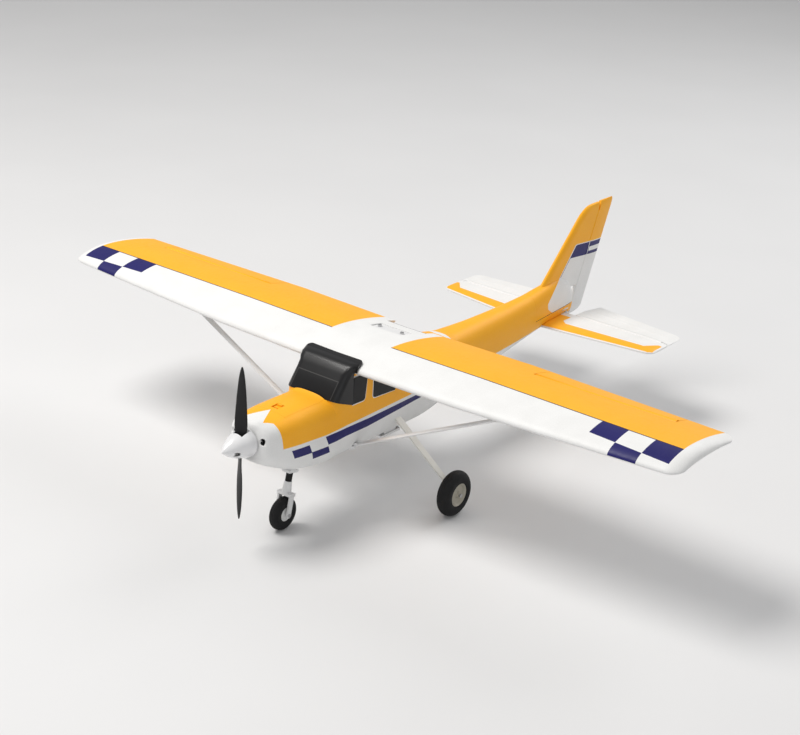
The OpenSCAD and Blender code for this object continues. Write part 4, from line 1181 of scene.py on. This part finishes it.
def fin_navy(p):
    """Band across the top of the panel, its inset line and the thin line down the front edge."""
    across = p.left_of(p.x, p.z, (-540, 249), (-405.8, 263.2))
    band = p.both(fin_panel(p, 1.6), across)
    inset = p.polygon(p.x, p.z, [(-520, 257.3), (-461, 263.6), (-463.5, 271.6), (-520, 266.5)])
    hinge = p.left_of(p.x, p.z, (-455.2, 258), (-462.2, 280))
    gap = p.both(hinge, p.no(p.left_of(p.x, p.z, (-456.8, 258), (-463.8, 280))))
    line = p.both(fin_panel(p, 1.6), p.no(fin_panel(p, 2.5)), p.between(p.z, 232.3, 264))
    return p.either(p.both(band, p.no(inset), p.no(gap)), line)


def make_fin():
    paint = foam("fin_paint", fin_orange, fin_navy)
    skin = fuselage_loft("fairing")
    cut(skin, fuselage_loft("fairing_room", SHELL, *CAVITY))
    keep(skin, box("fairing_part", (-412, -40, FIN_SPLIT_Z + 0.15), (FIN_FOOT - 0.3, 40, 300)))
    join(skin, fin_solid())
    rudder_room = revolve("rudder_room", [(-60, 5.2), (260, 5.2)], (0, 0, 0), "Z", 48)
    behind = box("behind", (-80, -30, -60), (0, 30, 260))
    cut(skin, placed(rudder_room, rudder_turn()), placed(behind, rudder_turn()))
    smooth(soften(skin, 0.4, 1, 50))
    skin.name = "fin_foam"
    finish_piece(skin, "airframe", "orange_foam", paint, "fin")

    rudder = loft("rudder_foam", [rudder_ring(*level) for level in RUDDER_LEVELS])
    nose = placed(revolve("rudder_nose", [(-34, 4.6), (160, 4.6)], (0, 0, 0), "Z", 48), rudder_turn())
    keep(nose, box("nose_part", (-600, -20, 158), (0, 20, 344)))
    join(rudder, nose)
    cut(rudder, placed(box("horn_room", (-13, -20, -1.6), (3.3, 0, 3.1)), rudder_turn()))
    smooth(soften(rudder, 0.4, 1, 50))
    finish_piece(rudder, "rudder_body", "orange_foam", paint, "rudder")


# ---- propeller and spinner ----

PROPELLER_X = 490
PROPELLER_HUB = 13
PROPELLER_R = 126.4
BLADE_SIDES = 24
PITCH = 152
PITCH_FROM = 36
# Radii of the blade's sections, closer together at the tip
BLADE_RADII = [7, 10, 14, 19, 25, 32, *range(40, 101, 10), 108, 114, 119, 122.5, 124.8, 126, PROPELLER_R]
# Spinner: its two ends along X and its radius
SPINNER = (484, 537, 23.5)
BACKPLATE = 2
SPINNER_WALL = 1.8
BLADE_ROOM = 9.4
SLOT_X = 517.5


def blade_section(r):
    """Section of the blade that points up, at radius r, twisted to the pitch."""
    u = max(0.0, (r - 20) / (PROPELLER_R - 20))
    chord = 20.5 * math.sqrt(max(0.02, 1 - u**2.6)) * (1 - 0.18 * u)
    chord *= min(1.0, 0.8 + 0.2 * max(0.0, (r - 9) / 22))
    height = chord * 0.07 + 0.5 + 3.2 * max(0.0, 1 - (r - 7) / 18)
    a = math.atan(PITCH / (2 * math.pi * max(r, PITCH_FROM)))
    mid = PROPELLER_X + PROPELLER_HUB / 2
    ring = []
    for i in range(BLADE_SIDES):
        round_by = 2 * math.pi * i / BLADE_SIDES
        along = 0.5 * math.cos(round_by)
        lift = math.sin(round_by)
        lift *= (1.0 if lift > 0 else 0.35) * (1 - 0.25 * along)
        s, v = along * chord, lift * height
        x, y = mid + s * math.sin(a) + v * math.cos(a), -s * math.cos(a) + v * math.sin(a)
        ring.append((x, y, SHAFT_Z + r))
    return ring


def spinner_slot_shade(p):
    """Painted shade inside the slot for the spinner's screw."""
    along = p.math("DIVIDE", p.minus(p.x, SLOT_X), 4.6)
    up = p.math("DIVIDE", p.minus(p.z, 176.5), 2.1)
    spread = p.math("ADD", p.math("POWER", along, 2.0), p.math("POWER", up, 2.0))
    return p.both(p.under(spread, 1), p.between(p.y, 4, 20))


def spinner_profile():
    """Outside of the spinner from its back plate to its tip, then its inside back to the plate."""
    base, tip, radius = SPINNER
    length = tip - base - BACKPLATE

    def cone(u, r):
        return r * (1 - u**1.6) ** 0.74

    profile = [(base, 4.6), (base, radius), (base + 1.2, radius), (base + 1.4, radius - 0.5)]
    profile += [(base + 1.9, radius - 0.5), (base + BACKPLATE, radius)]
    shares = [1 - (1 - i / 30) ** 1.6 for i in range(31)]
    profile += [(base + BACKPLATE + length * u, cone(u, radius)) for u in shares[1:-1]]
    profile += [(tip, 0.15)]
    for u in (0.96, 0.8, 0.6, 0.4, 0.2, 0):
        profile.append((base + BACKPLATE + (length - 3) * u, max(0.1, cone(u, radius - SPINNER_WALL))))
    return profile + [(base + BACKPLATE, 4.6)]


def make_propeller():
    black = plastic("propeller_nylon", (0.006, 0.006, 0.007), (0.010, 0.010, 0.011), (0.36, 0.5), 0.5, 0.04)
    shaft = (0, 0, SHAFT_Z)
    blade = loft("propeller_blades", [blade_section(r) for r in BLADE_RADII])
    axis = shift(*shaft)
    other = placed(duplicate(blade, "other_blade"), axis @ Matrix.Rotation(math.pi, 4, "X") @ axis.inverted())
    hub_profile = [(0, 9.2), (0.8, 10), (PROPELLER_HUB - 0.8, 10), (PROPELLER_HUB, 9.2)]
    hub = revolve("hub", [(PROPELLER_X + along, r) for along, r in hub_profile], shaft)
    join(blade, other, hub)
    cut(blade, revolve("bore", [(480, 3.05), (510, 3.05)], shaft, "X", 40))
    smooth(blade, 40)
    finish_piece(blade, "propeller_unit", "black_nylon", black, "propeller")

    colours = (0.83, 0.83, 0.84), (0.78, 0.78, 0.79)
    # The screw slot's inside is painted black as painted shade.
    white = plastic("spinner_gloss", *colours, (0.16, 0.28), 0.9, 0.01, 0.5, (spinner_slot_shade, SHADE_BLACK))
    base = SPINNER[0]
    shell = revolve("spinner_cone", spinner_profile(), shaft, "X", 96)
    rooms = []
    for side in (1, -1):
        low = (base + BACKPLATE + 0.01, -BLADE_ROOM, side * 7 + SHAFT_Z)
        rooms.append(box("blade_room", low, (base + 20.5, BLADE_ROOM, side * 40 + SHAFT_Z)))
    slot = revolve("screw_slot", [(-4, 2.2), (8, 2.2)], (0, 0, 0), "Z", 24)
    placed(slot, Matrix.Diagonal((2.3, 1, 1, 1)))
    placed(slot, shift(SLOT_X, 10.5, 181.2) @ turn(-115, "X"))
    cut(shell, *rooms, slot)
    smooth(soften(shell, 0.3, 2, 50), 40)
    finish_piece(shell, "propeller_unit", "spinner_white", white, "spinner")


# ---- wheels ----

# Wheels: outer radius, rim radius, tyre width
MAIN_WHEEL = (38.8, 20, 24)
MAIN_TRACK = 334
NOSE_WHEEL = (28.25, 12, 17)
NOSE_WHEEL_AT = (393.7, 0, 28.25)
STRUT_RAKE = -11.7


def make_wheels():
    tread = rubber("tyre_rubber_black")
    # The main hubs' beige nylon is darkened further as painted shade.
    dish = plastic("hub_nylon", (0.46, 0.43, 0.36), (0.38, 0.355, 0.29), (0.35, 0.5), 0.6, 0.04)
    white = plastic("nose_hub_nylon", (0.80, 0.80, 0.79), (0.72, 0.72, 0.71), (0.35, 0.5), 0.6, 0.04)
    for label, side in (("left", 1), ("right", -1)):
        r_out, r_in, width = MAIN_WHEEL
        at = (LEG_X, side * MAIN_TRACK / 2, r_out)
        tyre = make_tyre(f"{label}_main_tyre_rubber", at, r_out, r_in, width)
        finish_piece(tyre, label + "_wheel", "tyre_rubber", tread, label + "_main_tyre")
        hub = make_hub(f"{label}_main_hub_moulding", at, r_in, width - 1, 1.8, 5)
        finish_piece(hub, label + "_wheel", "white_nylon", dish, label + "_main_hub")
    r_out, r_in, width = NOSE_WHEEL
    tyre = make_tyre("nose_tyre_rubber", NOSE_WHEEL_AT, r_out, r_in, width)
    finish_piece(tyre, "nose_wheel", "tyre_rubber", tread, "nose_tyre")
    hub = make_hub("nose_hub_moulding", NOSE_WHEEL_AT, r_in, width - 1, 1.55, 3.4)
    finish_piece(hub, "nose_wheel", "white_nylon", white, "nose_hub")


def make_tyre(name, at, r_out, r_in, width):
    """Low tyre: a rounded tread with three grooves, soft shoulders and a bead at the rim."""
    half = width / 2
    section = []
    steps = 64
    for i in range(steps + 1):
        a = -104 + 208 * i / steps
        y = half * sine(a)
        r = r_out - half + half * cosine(a)
        groove = sum(0.55 * math.exp(-(((y - c) / 0.45) ** 2)) for c in (-half * 0.36, 0, half * 0.36))
        section.append((y, r - groove))
    lip = half - 0.8
    bead = [(lip - 1.5, r_in), (lip, r_in), (half - 0.3, r_in + 1.0)]
    section = [(-y, r) for y, r in bead] + section + bead[::-1]
    section = [s for s in section if s[1] >= r_in - 1e-6]
    tyre = revolve_closed(name, section, at, 128)
    return smooth(tyre, 35)


def make_hub(name, at, r, width, bore, dish):
    """Wheel disc, dished on both sides, with a rim and a boss."""
    half = width / 2
    side = [
        (half, bore), (half, bore + 2.0), (half - 0.5, bore + 2.6), (half - dish * 0.7, bore + 3.4),
        (half - dish, bore + 5.0), (half - dish, r - 4.6), (half - dish * 0.8, r - 3.6),
        (half - 1.6, r - 2.6), (half - 1.0, r - 1.9), (half - 1.0, r - 0.5), (half - 1.5, r),
    ]
    section = side + [(-y, q) for y, q in reversed(side)]
    hub = revolve_closed(name, section, at, 96)
    return smooth(hub, 30)


def revolve_closed(name, section, at, segments):
    """Ring turned about the Y axis from a closed section of (y, radius) points."""
    count = len(section)
    points, faces = [], []
    for i in range(segments):
        a = 2 * math.pi * i / segments
        points += [(at[0] + r * math.sin(a), at[1] + y, at[2] + r * math.cos(a)) for y, r in section]
        for j in range(count):
            k, n = (j + 1) % count, (i + 1) % segments
            faces.append((i * count + j, i * count + k, n * count + k, n * count + j))
    return turn_outwards(new_object(name, points, faces))


# ---- carried-over nodes ----


ROUNDED_NODES = {
    "main_gear_leg", "nose_fork", "left_wing_strut", "right_wing_strut", "strut_brackets", "battery",
    "speed_controller", "receiver", "nose_bearing", "wing_plate", "gear_plate", "servos",
}


def paint_nodes():
    """Gives the CAD nodes that stay their materials and rounded edges."""
    finishes = {
        "black_nylon": plastic("black_nylon_moulding", (0.014, 0.014, 0.015), (0.022, 0.022, 0.023)),
        "white_nylon": plastic("white_nylon_moulding", (0.80, 0.80, 0.80), (0.72, 0.72, 0.72)),
        "leg_white": plastic("gear_leg_nylon", (0.80, 0.79, 0.74), (0.72, 0.71, 0.66), (0.35, 0.5)),
        "plate_grey": plastic("wing_plate_nylon", (0.78, 0.78, 0.785), (0.70, 0.70, 0.70)),
        "bright_steel": metal("plated_steel", (0.62, 0.62, 0.63)),
        "motor_steel": metal("lacquered_steel", (0.30, 0.31, 0.33)),
        "tube_aluminium": metal("drawn_tube", (0.72, 0.73, 0.74)),
        "cell_pack": plastic("battery_wrap", (0.03, 0.09, 0.36), (0.02, 0.06, 0.25), (0.2, 0.4)),
        "electronics_black": plastic("electronics_case", (0.035, 0.035, 0.04), (0.05, 0.05, 0.055)),
        "servo_blue": plastic("servo_case", (0.03, 0.07, 0.2), (0.02, 0.05, 0.15), (0.12, 0.25)),
        "sleeve_rubber": rubber("strut_sleeve", "z"),
        "plywood": wood("birch_plywood"),
        "orange_foam": foam("latch_foam", lambda p: p.over(p.x, 0)),
    }
    slots = {s["node"]: s["material_slot"] for s in frame["record"]["subparts"]}
    for name, obj in NODES.items():
        if obj.hide_render:
            continue
        obj.data.materials.clear()
        obj.data.materials.append(finishes[slots[name]])
        smooth_shading(obj)
        if name in ROUNDED_NODES:
            soften(obj, 0.5, 2, 45)


def smooth_shading(obj):
    obj.data.shade_smooth()
    obj.data.set_sharp_from_angle(angle=math.radians(30))


make_camera()
make_studio()
make_wing()
make_fuselage()
make_canopy()
make_stabilizer()
make_fin()
make_propeller()
make_wheels()
paint_nodes()
